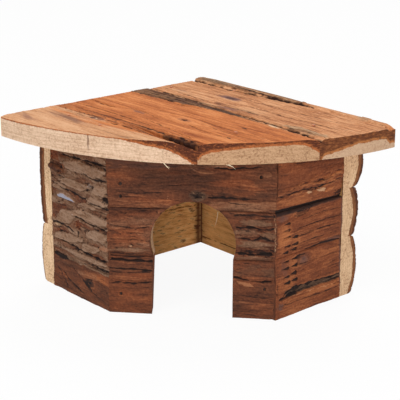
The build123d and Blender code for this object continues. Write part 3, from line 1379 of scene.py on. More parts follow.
@dataclass(frozen=True)
class BarkFinish:
    """Bark: each share of the skin has colours of its own, from dark to light."""

    name: str
    outer: tuple[Colour, ...]
    red: tuple[Colour, ...]
    grey: tuple[Colour, ...]
    # Colour of the dark share: real cracks and furrows, and also painted shade at ledges, in hollows and at
    # seams.
    furrow: Colour = (30, 17, 13)
    pale: Colour = (196, 158, 122)
    violet: Colour = (100, 68, 58)
    stops: tuple[float, ...] = (0.05, 0.5, 0.88, 1.0)
    fibre: Noise = Noise((0.09, 1.5, 1.5), 4.0, 0.7)
    speck: Noise = Noise((1.6, 2.4, 2.4), 2.0, 0.7)
    blotch: Noise = Noise((0.10, 0.22, 0.22), 3.0, 0.6)
    fibres: float = 0.5
    specks: float = 0.36
    blotches: float = 0.4
    fray: float = 0.3
    layered: Range = Range(0.3, 1.0)
    paled: Range = Range(0.35, 0.9)
    darkened: Range = Range(0.05, 0.95)
    fibre_height: float = 0.5
    speck_height: float = 0.35
    roughness: float = 0.86
    bump: float = 0.55
    gloss: float = 0.25

    def material(self) -> bpy.types.Material:
        """Builds the nodes.

        Three ramps by tone are blended by their shares, whose edges noise frays. Fibres, specks and blotches
        sway the tone, and the fibres and specks make the relief.

        Returns:
            The material.
        """
        tree = NodeTree(bpy.data.materials.new(self.name))
        grain = tree.attribute("grain")
        tone, red, grey = tree.split(tree.attribute("skin"))
        dark, pale, violet = tree.split(tree.attribute("marks"))
        fibre, speck, blotch = (tree.noise(grain, noise) for noise in (self.fibre, self.speck, self.blotch))
        for noise, weight in ((fibre, self.fibres), (speck, self.specks), (blotch, self.blotches)):
            tone = tree.sway(tone, noise, weight)
        outer_layer, red_layer, grey_layer = (
            tree.ramp(tone, self.stops, colours) for colours in (self.outer, self.red, self.grey)
        )
        colour = tree.mix(tree.share(tree.plus(red, blotch, self.fray), self.layered), outer_layer, red_layer)
        colour = tree.mix(tree.share(tree.plus(grey, speck, self.fray), self.layered), colour, grey_layer)
        colour = tree.mix(violet, colour, self.violet)
        colour = tree.mix(tree.share(tree.plus(pale, speck, self.fray), self.paled), colour, self.pale)
        # The dark share, cracks and furrows along with painted shade, takes the furrow colour.
        colour = tree.mix(tree.share(dark, self.darkened), colour, self.furrow)
        height = tree.plus(tree.math("MULTIPLY", fibre, self.fibre_height), speck, self.speck_height)
        return tree.surface(colour, self.roughness, height, self.bump, self.gloss)


@dataclass(frozen=True)
class SawnFinish:
    """A sawn face along the grain: fine fibres, growth lines and darker strokes."""

    name: str
    light: Colour
    middle: Colour
    shade: Colour
    # Colour of the dark share on sawn faces: stains, saw strokes and the painted shade in inner corners.
    stain: Colour = (86, 48, 26)
    stops: tuple[float, ...] = (0.1, 0.5, 0.9)
    fibre: Noise = Noise((0.06, 1.7, 1.7), 4.0, 0.7)
    speck: Noise = Noise((1.2, 3.0, 3.0), 2.0, 0.6)
    fibres: float = 0.9
    specks: float = 0.4
    fibre_height: float = 0.4
    speck_height: float = 0.2
    roughness: float = 0.8
    bump: float = 0.35
    gloss: float = 0.25

    def material(self) -> bpy.types.Material:
        """Builds the nodes: a ramp by tone, with fibres in tone and relief, and stains and painted shade over
        it.

        Returns:
            The material.
        """
        tree = NodeTree(bpy.data.materials.new(self.name))
        grain = tree.attribute("grain")
        tone = tree.split(tree.attribute("skin"))[0]
        dark, pale, _ = tree.split(tree.attribute("marks"))
        fibre, speck = tree.noise(grain, self.fibre), tree.noise(grain, self.speck)
        tone = tree.sway(tree.sway(tone, fibre, self.fibres), speck, self.specks)
        colour = tree.ramp(tone, self.stops, (self.shade, self.middle, self.light))
        colour = tree.mix(tree.share(dark, Range(0.0, 1.0)), colour, self.stain)
        colour = tree.mix(pale, colour, self.light)
        height = tree.plus(tree.math("MULTIPLY", fibre, self.fibre_height), speck, self.speck_height)
        return tree.surface(colour, self.roughness, height, self.bump, self.gloss)


@dataclass(frozen=True)
class EndFinish:
    """End grain: pale fuzzy wood with faint growth rings, under a ring of dark bark.

    Each place has a section: how far it lies over the wood's top, how far aside and how high, in millimetres.
    """

    name: str
    light: Colour
    shade: Colour
    speck: Colour
    inner_bark: Colour = (142, 84, 46)
    outer_bark: Colour = (82, 46, 30)
    deep_bark: Colour = (48, 26, 18)
    fuzz: Noise = Noise((0.62, 0.66, 0.66), 4.0, 0.8)
    wash: Noise = Noise((0.1, 0.12, 0.12), 2.0, 0.5)
    scratch: Noise = Noise((0.9, 0.35, 2.2), 3.0, 0.7)
    saw: Noise = Noise((0.3, 0.05, 1.1), 3.0, 0.6)
    lump: Noise = Noise((0.5, 0.22, 0.9), 4.0, 0.7)
    pith: Pair = (0.0, -34.0)
    ring_pitch: float = 2.3
    ring_waver: float = 3.0
    late_wood: Range = Range(0.72, 1.0, 0.25)
    fuzz_shade: Range = Range(0.30, 0.66, 0.45)
    wash_shade: Range = Range(0.3, 0.7, 0.2)
    saw_shade: Range = Range(0.4, 0.7, 0.4)
    scratch_shade: Range = Range(0.4, 0.7, 0.15)
    specks: float = 0.42
    speck_fuzz: Range = Range(0.5, 0.66)
    speck_wash: Range = Range(0.35, 0.6)
    least_specks: float = 0.4
    crack: float = 999.0
    crack_width: Range = Range(0.42, 0.08, 0.7)
    crack_taper: Range = Range(-14.0, -4.0)
    inner_width: float = 3.0
    peel_waver: float = 2.4
    peel: Range = Range(-0.8, 0.8)
    bark_scratch: Range = Range(0.42, 0.62, 0.55)
    bark_bright: Range = Range(0.52, 0.66, 0.55)
    bark_deep: Range = Range(0.48, 0.36, 0.6)
    edge_waver: float = 1.6
    edge: Range = Range(-0.25, 0.25)
    fuzz_height: float = 0.6
    scratch_height: float = 0.3
    roughness: float = 0.88
    bump: float = 0.5
    gloss: float = 0.2

    def ring(self, tree: NodeTree, aside: Socket, high: Socket, wash: Socket) -> Socket:
        """Works out where in a growth ring each place lies, by its wavering distance from the pith.

        Args:
            tree: The material's nodes.
            aside: Places aside.
            high: Places upwards.
            wash: Noise that bends the rings.

        Returns:
            The place within its ring, from 0 to 1.
        """
        rise = tree.math("SUBTRACT", high, self.pith[1])
        across = tree.math("SUBTRACT", aside, self.pith[0])
        square = tree.math("ADD", tree.math("MULTIPLY", rise, rise), tree.math("MULTIPLY", across, across))
        radius = tree.plus(tree.math("SQRT", square), wash, self.ring_waver)
        return tree.math("FRACT", tree.math("DIVIDE", radius, self.ring_pitch))

    def cracked(self, tree: NodeTree, over: Socket, aside: Socket, fuzz: Socket, wash: Socket) -> Socket:
        """Works out a crack that runs up through the wood and ends under the bark.

        Args:
            tree: The material's nodes.
            over: Places over the wood's top.
            aside: Places aside.
            fuzz: Noise that frays the crack's end.
            wash: Noise that bends it.

        Returns:
            The crack's strength.
        """
        from_middle = tree.math("SUBTRACT", tree.math("ADD", aside, wash), self.crack + WASH_MIDDLE)
        taper = tree.share(tree.math("ADD", over, fuzz), self.crack_taper)
        return tree.math("MULTIPLY", tree.share(tree.math("ABSOLUTE", from_middle), self.crack_width), taper)

    def bark(self, tree: NodeTree, over: Socket, fuzz: Socket, scratch: Socket, lump: Socket) -> Socket:
        """Colours the bark: an inner layer and an outer one, with scratches, bright lumps and deep gaps.

        Args:
            tree: The material's nodes.
            over: Places over the wood's top.
            fuzz: Noise that frays the layers.
            scratch: Noise of the saw's scratches.
            lump: Noise of the lumps and gaps.

        Returns:
            The colour.
        """
        height = tree.plus(over, fuzz, self.peel_waver)
        peel = tree.math("SUBTRACT", height, self.inner_width + self.peel_waver / 2)
        colour = tree.mix(tree.share(peel, self.peel), self.inner_bark, self.outer_bark)
        colour = tree.mix(tree.share(scratch, self.bark_scratch), colour, self.outer_bark)
        colour = tree.mix(tree.share(lump, self.bark_bright), colour, self.inner_bark)
        return tree.mix(tree.share(lump, self.bark_deep), colour, self.deep_bark)

    def material(self) -> bpy.types.Material:
        """Builds the nodes: rings round the pith, specks, a crack, and bark over the wood's wavering top.

        Returns:
            The material.
        """
        tree = NodeTree(bpy.data.materials.new(self.name))
        grain, section = tree.attribute("grain"), tree.attribute("section")
        over, aside, high = tree.split(section)
        fuzz, wash, scratch, lump = (
            tree.noise(grain, noise) for noise in (self.fuzz, self.wash, self.scratch, self.lump)
        )
        tone = tree.share(self.ring(tree, aside, high, wash), self.late_wood)
        for noise, span in (
            (fuzz, self.fuzz_shade), (wash, self.wash_shade),
            (tree.noise(section, self.saw), self.saw_shade), (scratch, self.scratch_shade),
        ):
            tone = tree.math("ADD", tone, tree.share(noise, span))
        colour = tree.mix(tone, self.light, self.shade)
        spread = tree.math("ADD", tree.share(wash, self.speck_wash), self.least_specks)
        specks = tree.math("MULTIPLY", tree.share(fuzz, self.speck_fuzz), spread)
        colour = tree.mix(tree.math("MULTIPLY", specks, self.specks), colour, self.speck)
        colour = tree.mix(self.cracked(tree, over, aside, fuzz, wash), colour, self.outer_bark)
        edge = tree.share(tree.sway(over, fuzz, self.edge_waver), self.edge)
        colour = tree.mix(edge, colour, self.bark(tree, over, fuzz, scratch, lump))
        height = tree.plus(tree.math("MULTIPLY", fuzz, self.fuzz_height), scratch, self.scratch_height)
        return tree.surface(colour, self.roughness, height, self.bump, self.gloss)


@dataclass(frozen=True)
class SteelFinish:
    """Dull wire steel with a bloom of rust."""

    name: str
    steel: Colour = (50, 38, 32)
    rust: Colour = (38, 22, 16)
    metal: float = 0.2
    bloom: Noise = Noise((900.0, 900.0, 900.0), 4.0, 0.7)
    rusted: Range = Range(0.42, 0.62)
    clean_roughness: float = 0.42
    rust_roughness: float = 0.35
    bump: float = 0.25
    gloss: float = 0.5

    def material(self) -> bpy.types.Material:
        """Builds the nodes: metal whose colour and roughness change with rust, by noise.

        Returns:
            The material.
        """
        tree = NodeTree(bpy.data.materials.new(self.name))
        bloom = tree.noise(tree.add("ShaderNodeTexCoord").outputs["Object"], self.bloom)
        rust = tree.share(bloom, self.rusted)
        colour = tree.mix(rust, self.steel, self.rust)
        roughness = tree.plus(self.clean_roughness, rust, self.rust_roughness)
        return tree.surface(colour, roughness, bloom, self.bump, self.gloss, self.metal)


class Finishes:
    """The hide's materials, each made once."""

    def __init__(self) -> None:
        """Makes every finish's material."""
        self.wall_bark = BarkFinish(
            "wall_bark",
            outer=((46, 25, 17), (98, 58, 38), (146, 100, 70)),
            red=((58, 27, 15), (120, 64, 37), (168, 102, 60)),
            grey=((60, 40, 29), (118, 86, 64), (160, 130, 108), (150, 150, 164)),
        ).material()
        self.roof_bark = BarkFinish(
            "roof_bark",
            outer=((142, 88, 54), (202, 146, 104), (230, 182, 142)),
            red=((134, 66, 32), (196, 116, 64), (226, 152, 96)),
            grey=((76, 50, 36), (138, 102, 72), (192, 158, 124)),
            furrow=(46, 24, 16),
            pale=(226, 190, 152),
            violet=(126, 88, 80),
            roughness=0.72,
            bump=0.4,
            fibres=0.7,
            specks=0.4,
            gloss=0.1,
        ).material()
        self.sawn = SawnFinish("sawn_wood", (250, 212, 150), (230, 174, 108), (160, 100, 52)).material()
        # The slivers: a whiter copy of the sawn wood, partly paler torn fibre and partly a painted highlight,
        # so the one inside looks bright in the shade there.
        self.sliver = SawnFinish("sliver_wood_pale_and_painted_highlight", (255, 244, 212), (248, 226, 184), (214, 176, 128)).material()
        end = EndFinish(
            "end_grain", (226, 192, 154), (184, 144, 108), (128, 86, 56),
            inner_bark=(134, 84, 50), specks=0.6,
        )
        self.end = end.material()
        pale_end = replace(end, name="end_grain_left", light=(237, 206, 168), shade=(194, 155, 118))
        self.left_end = pale_end.material()
        rim = replace(
            EndFinish("rim_grain", (226, 196, 168), (184, 148, 118), (124, 86, 62)),
            inner_bark=(172, 98, 52), outer_bark=(84, 42, 24), inner_width=1.9,
        )
        self.rims = {
            "roof_board_left": replace(rim, name="rim_grain_left", crack=RIM_CRACK, specks=0.3).material(),
            "roof_board_middle": replace(
                rim, name="rim_grain_middle",
                light=(200, 162, 125), shade=(156, 116, 84), speck=(106, 70, 48),
            ).material(),
            "roof_board_right": replace(
                rim, name="rim_grain_right",
                light=(199, 167, 137), inner_bark=(172, 108, 60), outer_bark=(104, 58, 32),
            ).material(),
        }
        jamb = EndFinish("jamb_grain", (146, 88, 60), (104, 60, 42), (66, 36, 26), inner_bark=(112, 66, 44))
        self.jamb = jamb.material()
        self.steel = SteelFinish("brad_steel").material()
        self.rusty = SteelFinish("rusty_steel", (190, 122, 84), (164, 98, 64), 0.0).material()

    def end_of(self, name: str) -> bpy.types.Material:
        """Picks the material of a slab's ends: dark at the doorway and the bevels, pale on the left wall.

        Args:
            name: Name of the slab.

        Returns:
            The material.
        """
        if name.startswith("back_left"):
            return self.left_end
        return self.end if name.startswith(("back", "front_middle")) else self.jamb


FLAKY = Coat(
    flake=(24.0, 5.5), flakes=6, flake_lift=2.4, ragged=1.5, ledge_dark=0.6,
    furrow=(30.0, 7.0), furrow_share=0.10, furrow_lift=-1.0, furrow_dark=0.5, furrow_rarity=0.1,
    fibre=(8.0, 1.5), fibre_lift=0.16, fibre_tone=0.18, grit=0.16, hollow_dark=0.9, edge_light=0.4,
    base=Touch(tone=0.34, red=0.75, grey=0.0), high=Touch(tone=0.2, red=-0.9, grey=0.95),
    cloud=(24.0, 9.0), cloud_change=Touch(tone=0.12, grey=0.3),
)
SCALY = replace(
    FLAKY, flake=(20.0, 4.6), flakes=5, flake_lift=1.5, ragged=1.1, ledge_dark=0.55, furrow_dark=0.5,
    base=Touch(tone=0.34, red=0.5), high=Touch(tone=0.16, red=-0.3, grey=0.5),
    cloud_change=Touch(tone=0.14, grey=0.15),
)
SMOOTH = Coat(
    flake=(46.0, 6.0), flakes=4, flake_lift=1.0, ragged=0.8, ledge_dark=0.3,
    furrow=(60.0, 8.0), furrow_share=0.06, furrow_lift=-0.5, furrow_dark=0.35,
    fibre=(22.0, 1.4), fibre_lift=0.16, fibre_tone=0.26, grit=0.12, hollow_dark=0.5, edge_light=0.25,
    base=Touch(tone=0.31, red=0.6), high=Touch(tone=0.12, red=-0.35, grey=0.15),
    cloud_change=Touch(tone=0.14, red=0.25, grey=-0.15),
)
STRIPPED = replace(
    SMOOTH, flake=(60.0, 7.0), flakes=3, flake_lift=0.7, ledge_dark=0.2, furrow_dark=0.3,
    fibre=(34.0, 1.3), fibre_tone=0.34, base=Touch(tone=0.42, red=0.95), high=Touch(tone=0.12), slant=0.02,
)
ROOF = Coat(
    flake=(110.0, 9.0), flakes=3, flake_lift=0.35, ragged=0.6, ledge_dark=0.12,
    furrow=(120.0, 13.0), furrow_share=0.035, furrow_lift=-0.25, furrow_dark=0.5, furrow_rarity=0.35,
    fibre=(60.0, 1.9), fibre_lift=0.10, fibre_tone=0.30, grit=0.04,
    base=Touch(tone=0.5), high=Touch(tone=0.12), cloud=(70.0, 10.0), cloud_change=Touch(tone=0.2, red=0.3),
)
ROOF_ORANGE = replace(ROOF, base=Touch(tone=0.37, red=0.95), cloud=(60.0, 7.0), cloud_change=Touch(tone=0.36))
ROOF_DULL = replace(
    ROOF, flakes=4, flake_lift=0.5, ledge_dark=0.25, furrow=(90.0, 9.0), furrow_rarity=0.2, furrow_dark=0.6,
    fibre=(30.0, 1.6), fibre_lift=0.22, fibre_tone=0.55, hollow_dark=0.6,
    base=Touch(tone=0.39, red=0.4, grey=0.12), cloud=(60.0, 8.0), cloud_change=Touch(tone=0.26, grey=0.3),
)

CRACK = Touch(lift=-1.0, dark=0.95)
FURROW = Touch(lift=-1.8, dark=0.95)
HAIRLINE = Touch(lift=-0.3, dark=0.7)
PIT = Touch(lift=-2.4, dark=1.3)
PLATE = Touch(lift=1.3, tone=0.16, grey=0.7, red=-0.6, dark=-0.5)
CHIP = Touch(lift=0.8, tone=0.3, pale=0.55)
STAIN = Touch(violet=0.8)
NICK = Touch(lift=-0.8, dark=0.72)


@dataclass(frozen=True)
class LeftSide:
    """The left side: a smoother red foot under rough flaky bark."""

    plan: Plan
    foot: Marks = (
        Shelf(Touch(lift=1, grey=0.9, red=-0.5, tone=0.15), (75, 25.5), (-5, 25.5), 1.5, True),
        Patch(Touch(dark=0.8, violet=0.6, lift=-0.6), (60, 26), (10, 2.6), 2),
        Patch(Touch(lift=0.9, tone=0.14, grey=0.25), (24, 20.5), (17, 2.6), -4, 0.3),
        Patch(Touch(red=0.6, tone=0.12), (5, 22), (9, 3.5), 0),
        Knot(Touch(dark=1.3, lift=-0.5, grey=0.6), (23.8, 14.9), (6.4, 4.2)),
        Stroke(HAIRLINE, ((46, 22), (36, 17), (20, 9), (4, 5)), 0.7, 1),
        Stroke(CRACK, ((60, 16), (44, 8), (30, 4)), 0.8, 1),
        Stroke(HAIRLINE, ((70, 20), (58, 12), (50, 4)), 0.6, 1),
    )
    middle: Marks = (
        Plate(PLATE, (20, 66), (21, 3.4), 2),
        Plate(PLATE, (51, 59.5), (10.5, 5.4), -2),
        Patch(Touch(lift=-1.2, red=1, grey=-1, dark=0.2), (36, 57), (4.5, 3.4), 0),
        Plate(PLATE, (12, 54), (13, 3.6), 0),
        Plate(PLATE, (48, 44), (17, 3), -3),
        Plate(PLATE, (21, 42), (10, 3.2), -2),
        Plate(PLATE, (29, 33.6), (26, 1.6), 1),
        Plate(Touch(lift=0.8, red=0.4, tone=0.2), (5, 46.5), (5, 2), 0),
        Stroke(CRACK, ((36, 52), (35.5, 47)), 0.8, 0.5),
        Stroke(FURROW, ((42, 62.5), (18, 60.5), (-1, 59.8)), 0.9, 1),
        Stroke(CRACK, ((65, 52.5), (50, 51.5), (40, 50)), 0.7, 0.9),
        Stroke(FURROW, ((65, 39.5), (40, 38), (14, 36), (-1, 36.5)), 1, 1),
        Stroke(FURROW, ((22, 30), (8, 29), (-1, 29.5)), 1.1, 0.6),
        Patch(CHIP, (61, 50.5), (5, 1.4), 0, 0.3),
    )
    top: Marks = (
        Patch(Touch(lift=-0.8, red=0.6, grey=-0.8, tone=-0.02), (65, 108), (7, 9), 0),
        Plate(PLATE, (27, 101), (24, 4.6), 1),
        Plate(Touch(lift=1.8, tone=-0.16, red=-0.1, grey=-0.5, dark=-0.3), (61.5, 94), (9, 2.6), 14, 0.1),
        Plate(PLATE, (40, 86.5), (17, 3.2), 2),
        Plate(PLATE, (26, 72.4), (10, 2.7), 0),
        Plate(PLATE, (9, 88.5), (8, 3.6), 2),
        Plate(PLATE, (13, 78.6), (12, 3.4), 0),
        Plate(PLATE, (59, 81), (8, 2.6), 4),
        Patch(Touch(lift=1, tone=0.45, grey=0.8, red=-0.6), (20, 90), (3, 1.7), -20, 0.2),
        Plate(Touch(lift=0.9, tone=0.72, grey=1.4, red=-1, dark=-0.8), (51.7, 72.6), (10, 3.3), 12, 0.1, 0.3),
        Patch(Touch(lift=0.6, tone=0.12, grey=0.2, dark=-0.3), (9, 111.5), (12, 2.4), -2, 0.3),
        Stroke(FURROW, ((56, 105.6), (34, 107), (14, 107.6), (0, 108.4)), 0.7, 0.7),
        Stroke(CRACK, ((27, 98), (18, 95.5), (2, 96.5)), 0.8, 1),
        Stroke(CRACK, ((69, 82.5), (48, 79.5), (20, 77), (-1, 76.5)), 0.9, 1.2),
        Patch(FURROW, (2.5, 82.5), (4.5, 2.6), 0),
    )

    def slabs(self) -> tuple[Slab, ...]:
        """Places the slabs.

        Returns:
            The three slabs, from the floor up.
        """
        plan = self.plan
        corner = plan.at(plan.left_end, plan.back_left_inset + plan.left_width)
        wall = Wall(corner - LEFT * plan.panel, LEFT, plan.left_width)
        return (
            Slab("left_side_bottom", wall, replace(SMOOTH, flakes=5, flake_lift=1.8), self.foot, seed=11),
            Slab("left_side_middle", wall, FLAKY, self.middle, seed=12),
            Slab("left_side_top", wall, FLAKY, self.top, seed=13),
        )


@dataclass(frozen=True)
class RightSide:
    """The right side: split orange wood under a smooth red slab with a flaking ledge."""

    plan: Plan
    foot: Marks = (
        Patch(Touch(tone=0.2, red=0.5), (54, 26), (12, 16), 0, 0.3, 0.9),
        Teeth(NICK, 47.5, (17, 44.5)),
        Teeth(NICK, 55.5, (22, 44.5)),
        Patch(Touch(violet=0.35), (57, 36), (7, 9), 0, 0.5, 0.8),
        Knot(Touch(dark=0.75, violet=0.5, lift=0.4), (38.3, 39), (8.6, 5.6), 1.2),
        Patch(Touch(dark=-0.35, violet=0.6, tone=0.2), (37.6, 38.4), (5, 3.4), 0, 0.3, 0.5),
        Stroke(Touch(dark=0.8, lift=-0.5), ((46.5, 41.5), (41.5, 43), (36, 42.6)), 0.9, 0.6),
        Shelf(Touch(lift=-1.7, dark=0.5, grey=0.8, red=-0.6), (60, 14.4), (-4, 15.2), 1.1, True, 0.8, 3.4, 8),
        Stroke(Touch(lift=-1, dark=1.1), ((61.5, 15), (50, 19.4), (28, 19.4), (0.5, 18.2)), 0.9, 1.2),
        Stroke(Touch(lift=-1, dark=1.1), ((63, 14), (52, 15.4), (44, 15)), 1.1, 0.7),
        Stroke(Touch(lift=0.8, tone=0.35, pale=0.4), ((56, 13.6), (38, 14.4), (16, 13.2), (2, 14)), 0.6, 1.3),
        Patch(Touch(lift=0.7, tone=0.2, red=0.3), (26, 11.6), (30, 1.6), 0, 0.4),
        Patch(STAIN, (0.5, 28), (1.1, 22), 0, 0.3),
        Stroke(HAIRLINE, ((64, 9), (30, 8.6), (2, 9.4)), 0.5, 0.8),
        Patch(STAIN, (62.5, 9), (3.5, 3), 0),
    )
    middle: Marks = (
        Patch(Touch(tone=0.36, red=1, dark=-0.3), (58.5, 60), (9, 13), 0, 0.3, 0.6),
        Patch(Touch(tone=0.16, red=0.5), (46, 54), (8, 9), 0, 0.3, 0.9),
        # Painted shadow: a dark violet band along the top of the middle slab, under the top slab's edge.
        Shelf(Touch(dark=0.75, violet=0.6), (70, 74.4), (-4, 76), 0.8, True, 2),
        Patch(Touch(violet=0.8, dark=0.15), (59, 74), (7, 2.6), 0, 0.5, 0.7),
        Patch(STAIN, (0.5, 62), (1.1, 16), 0, 0.3),
        Teeth(NICK, 55.8, (45.4, 72)),
        Teeth(NICK, 47.8, (45.4, 59)),
        Stroke(CRACK, ((36.5, 45.8), (18, 46.6), (0.5, 45.6)), 0.8, 0.4),
        Patch(Touch(violet=0.7), (8, 47), (9, 2.2), 0),
        Stroke(HAIRLINE, ((48, 51.5), (24, 53), (2, 52.4)), 0.45, 0.5),
        Stroke(HAIRLINE, ((46, 57.5), (22, 59), (2, 58.6)), 0.45, 0.5),
        Stroke(HAIRLINE, ((44, 63.5), (20, 65), (2, 64.6)), 0.45, 0.5),
        Stroke(HAIRLINE, ((42, 69.5), (20, 71), (2, 70.6)), 0.45, 0.5),
        Patch(Touch(dark=0.5, lift=-0.4), (41, 74.5), (8, 2.4), 0, 0.8),
    )
    top: Marks = (
        Shelf(Touch(tone=0.04, red=0.35), (70, 130), (-4, 130), 1.5, False, 0.8),
        Shelf(Touch(lift=-1.1, tone=0.14, red=0.3), (70, 89), (-4, 91), 1.5, False, 0.8),
        Shelf(Touch(lift=0.6, tone=0.18), (68, 90.6), (-4, 95), 2.4, True, 0.5, 1.6),
        Shelf(Touch(lift=0.4, tone=0.18), (50, 94), (-4, 98), 3, True, 0.5, 1.2),
        Shelf(Touch(lift=-0.3, tone=-0.03), (36, 99), (-4, 103), 3, True, 0.5, 30),
        Plate(Touch(lift=0.7, tone=0.14), (14, 93.4), (12, 2), 4),
        Stroke(CRACK, ((64, 89.3), (44, 91.2), (22, 90.3), (2, 92.6)), 0.7, 1.3),
        Stroke(HAIRLINE, ((60, 92), (38, 96), (16, 95), (2, 97.5)), 0.45, 1.4),
        Patch(CHIP, (21, 87.4), (5, 1.7), 6, 0.5),
        Patch(CHIP, (34, 88), (3.4, 1.2), 6, 0.5),
        Patch(Touch(lift=0.6, tone=0.3), (12, 86), (5, 1.8), -8, 0.5),
        Stroke(
            Touch(tone=0.36, lift=0.5), ((63, 86.6), (48, 88.6), (34, 92.6), (18, 94.6), (3, 98.6)), 0.7, 1.6,
        ),
        Stroke(Touch(tone=0.3, lift=0.5), ((42, 86.6), (28, 88.8), (12, 89.6), (2, 91)), 0.7, 1.4),
        Stroke(Touch(tone=0.2, lift=0.3), ((58, 92.6), (42, 96.6), (26, 99.6), (4, 102)), 0.5, 1.6),
        Stroke(Touch(tone=0.5, lift=0.4), ((26, 91.6), (14, 92.8), (4, 91.4)), 0.5, 1),
        Patch(Touch(tone=0.22, red=0.6), (47, 84), (17, 3.2), 2),
        # Painted shadow along the top slab's lower edge at the seam, over a real dip in relief.
        Shelf(Touch(dark=0.85, lift=-0.8, violet=0.5), (70, 81), (-4, 80), 0.6, False, 1.4),
        Patch(Touch(dark=0.7), (3, 82), (5, 2.2), 0, 0.7),
        Shelf(Touch(dark=0.35), (66, 81.6), (-2, 80.8), 0.8, False, 1.6),
        Stroke(HAIRLINE, ((60, 116), (48, 112), (34, 110)), 0.5, 0.5),
    )

    def slabs(self) -> tuple[Slab, ...]:
        """Places the slabs.

        Returns:
            The three slabs, from the floor up.
        """
        plan = self.plan
        wall = Wall(plan.at(plan.back_right_inset, plan.right_end - plan.panel), RIGHT, plan.right_width)
        split = replace(STRIPPED, furrow=(70.0, 4.0), furrow_rarity=0.1)
        smooth = replace(SMOOTH, flakes=3, flake_lift=0.5, ledge_dark=0.2, fibre_tone=0.22)
        return (
            RightSlab("right_side_bottom", wall, STRIPPED, self.foot, seed=21, plan=plan),
            RightSlab("right_side_middle", wall, split, self.middle, seed=22, plan=plan),
            RightSlab("right_side_top", wall, smooth, self.top, seed=23, plan=plan),
        )


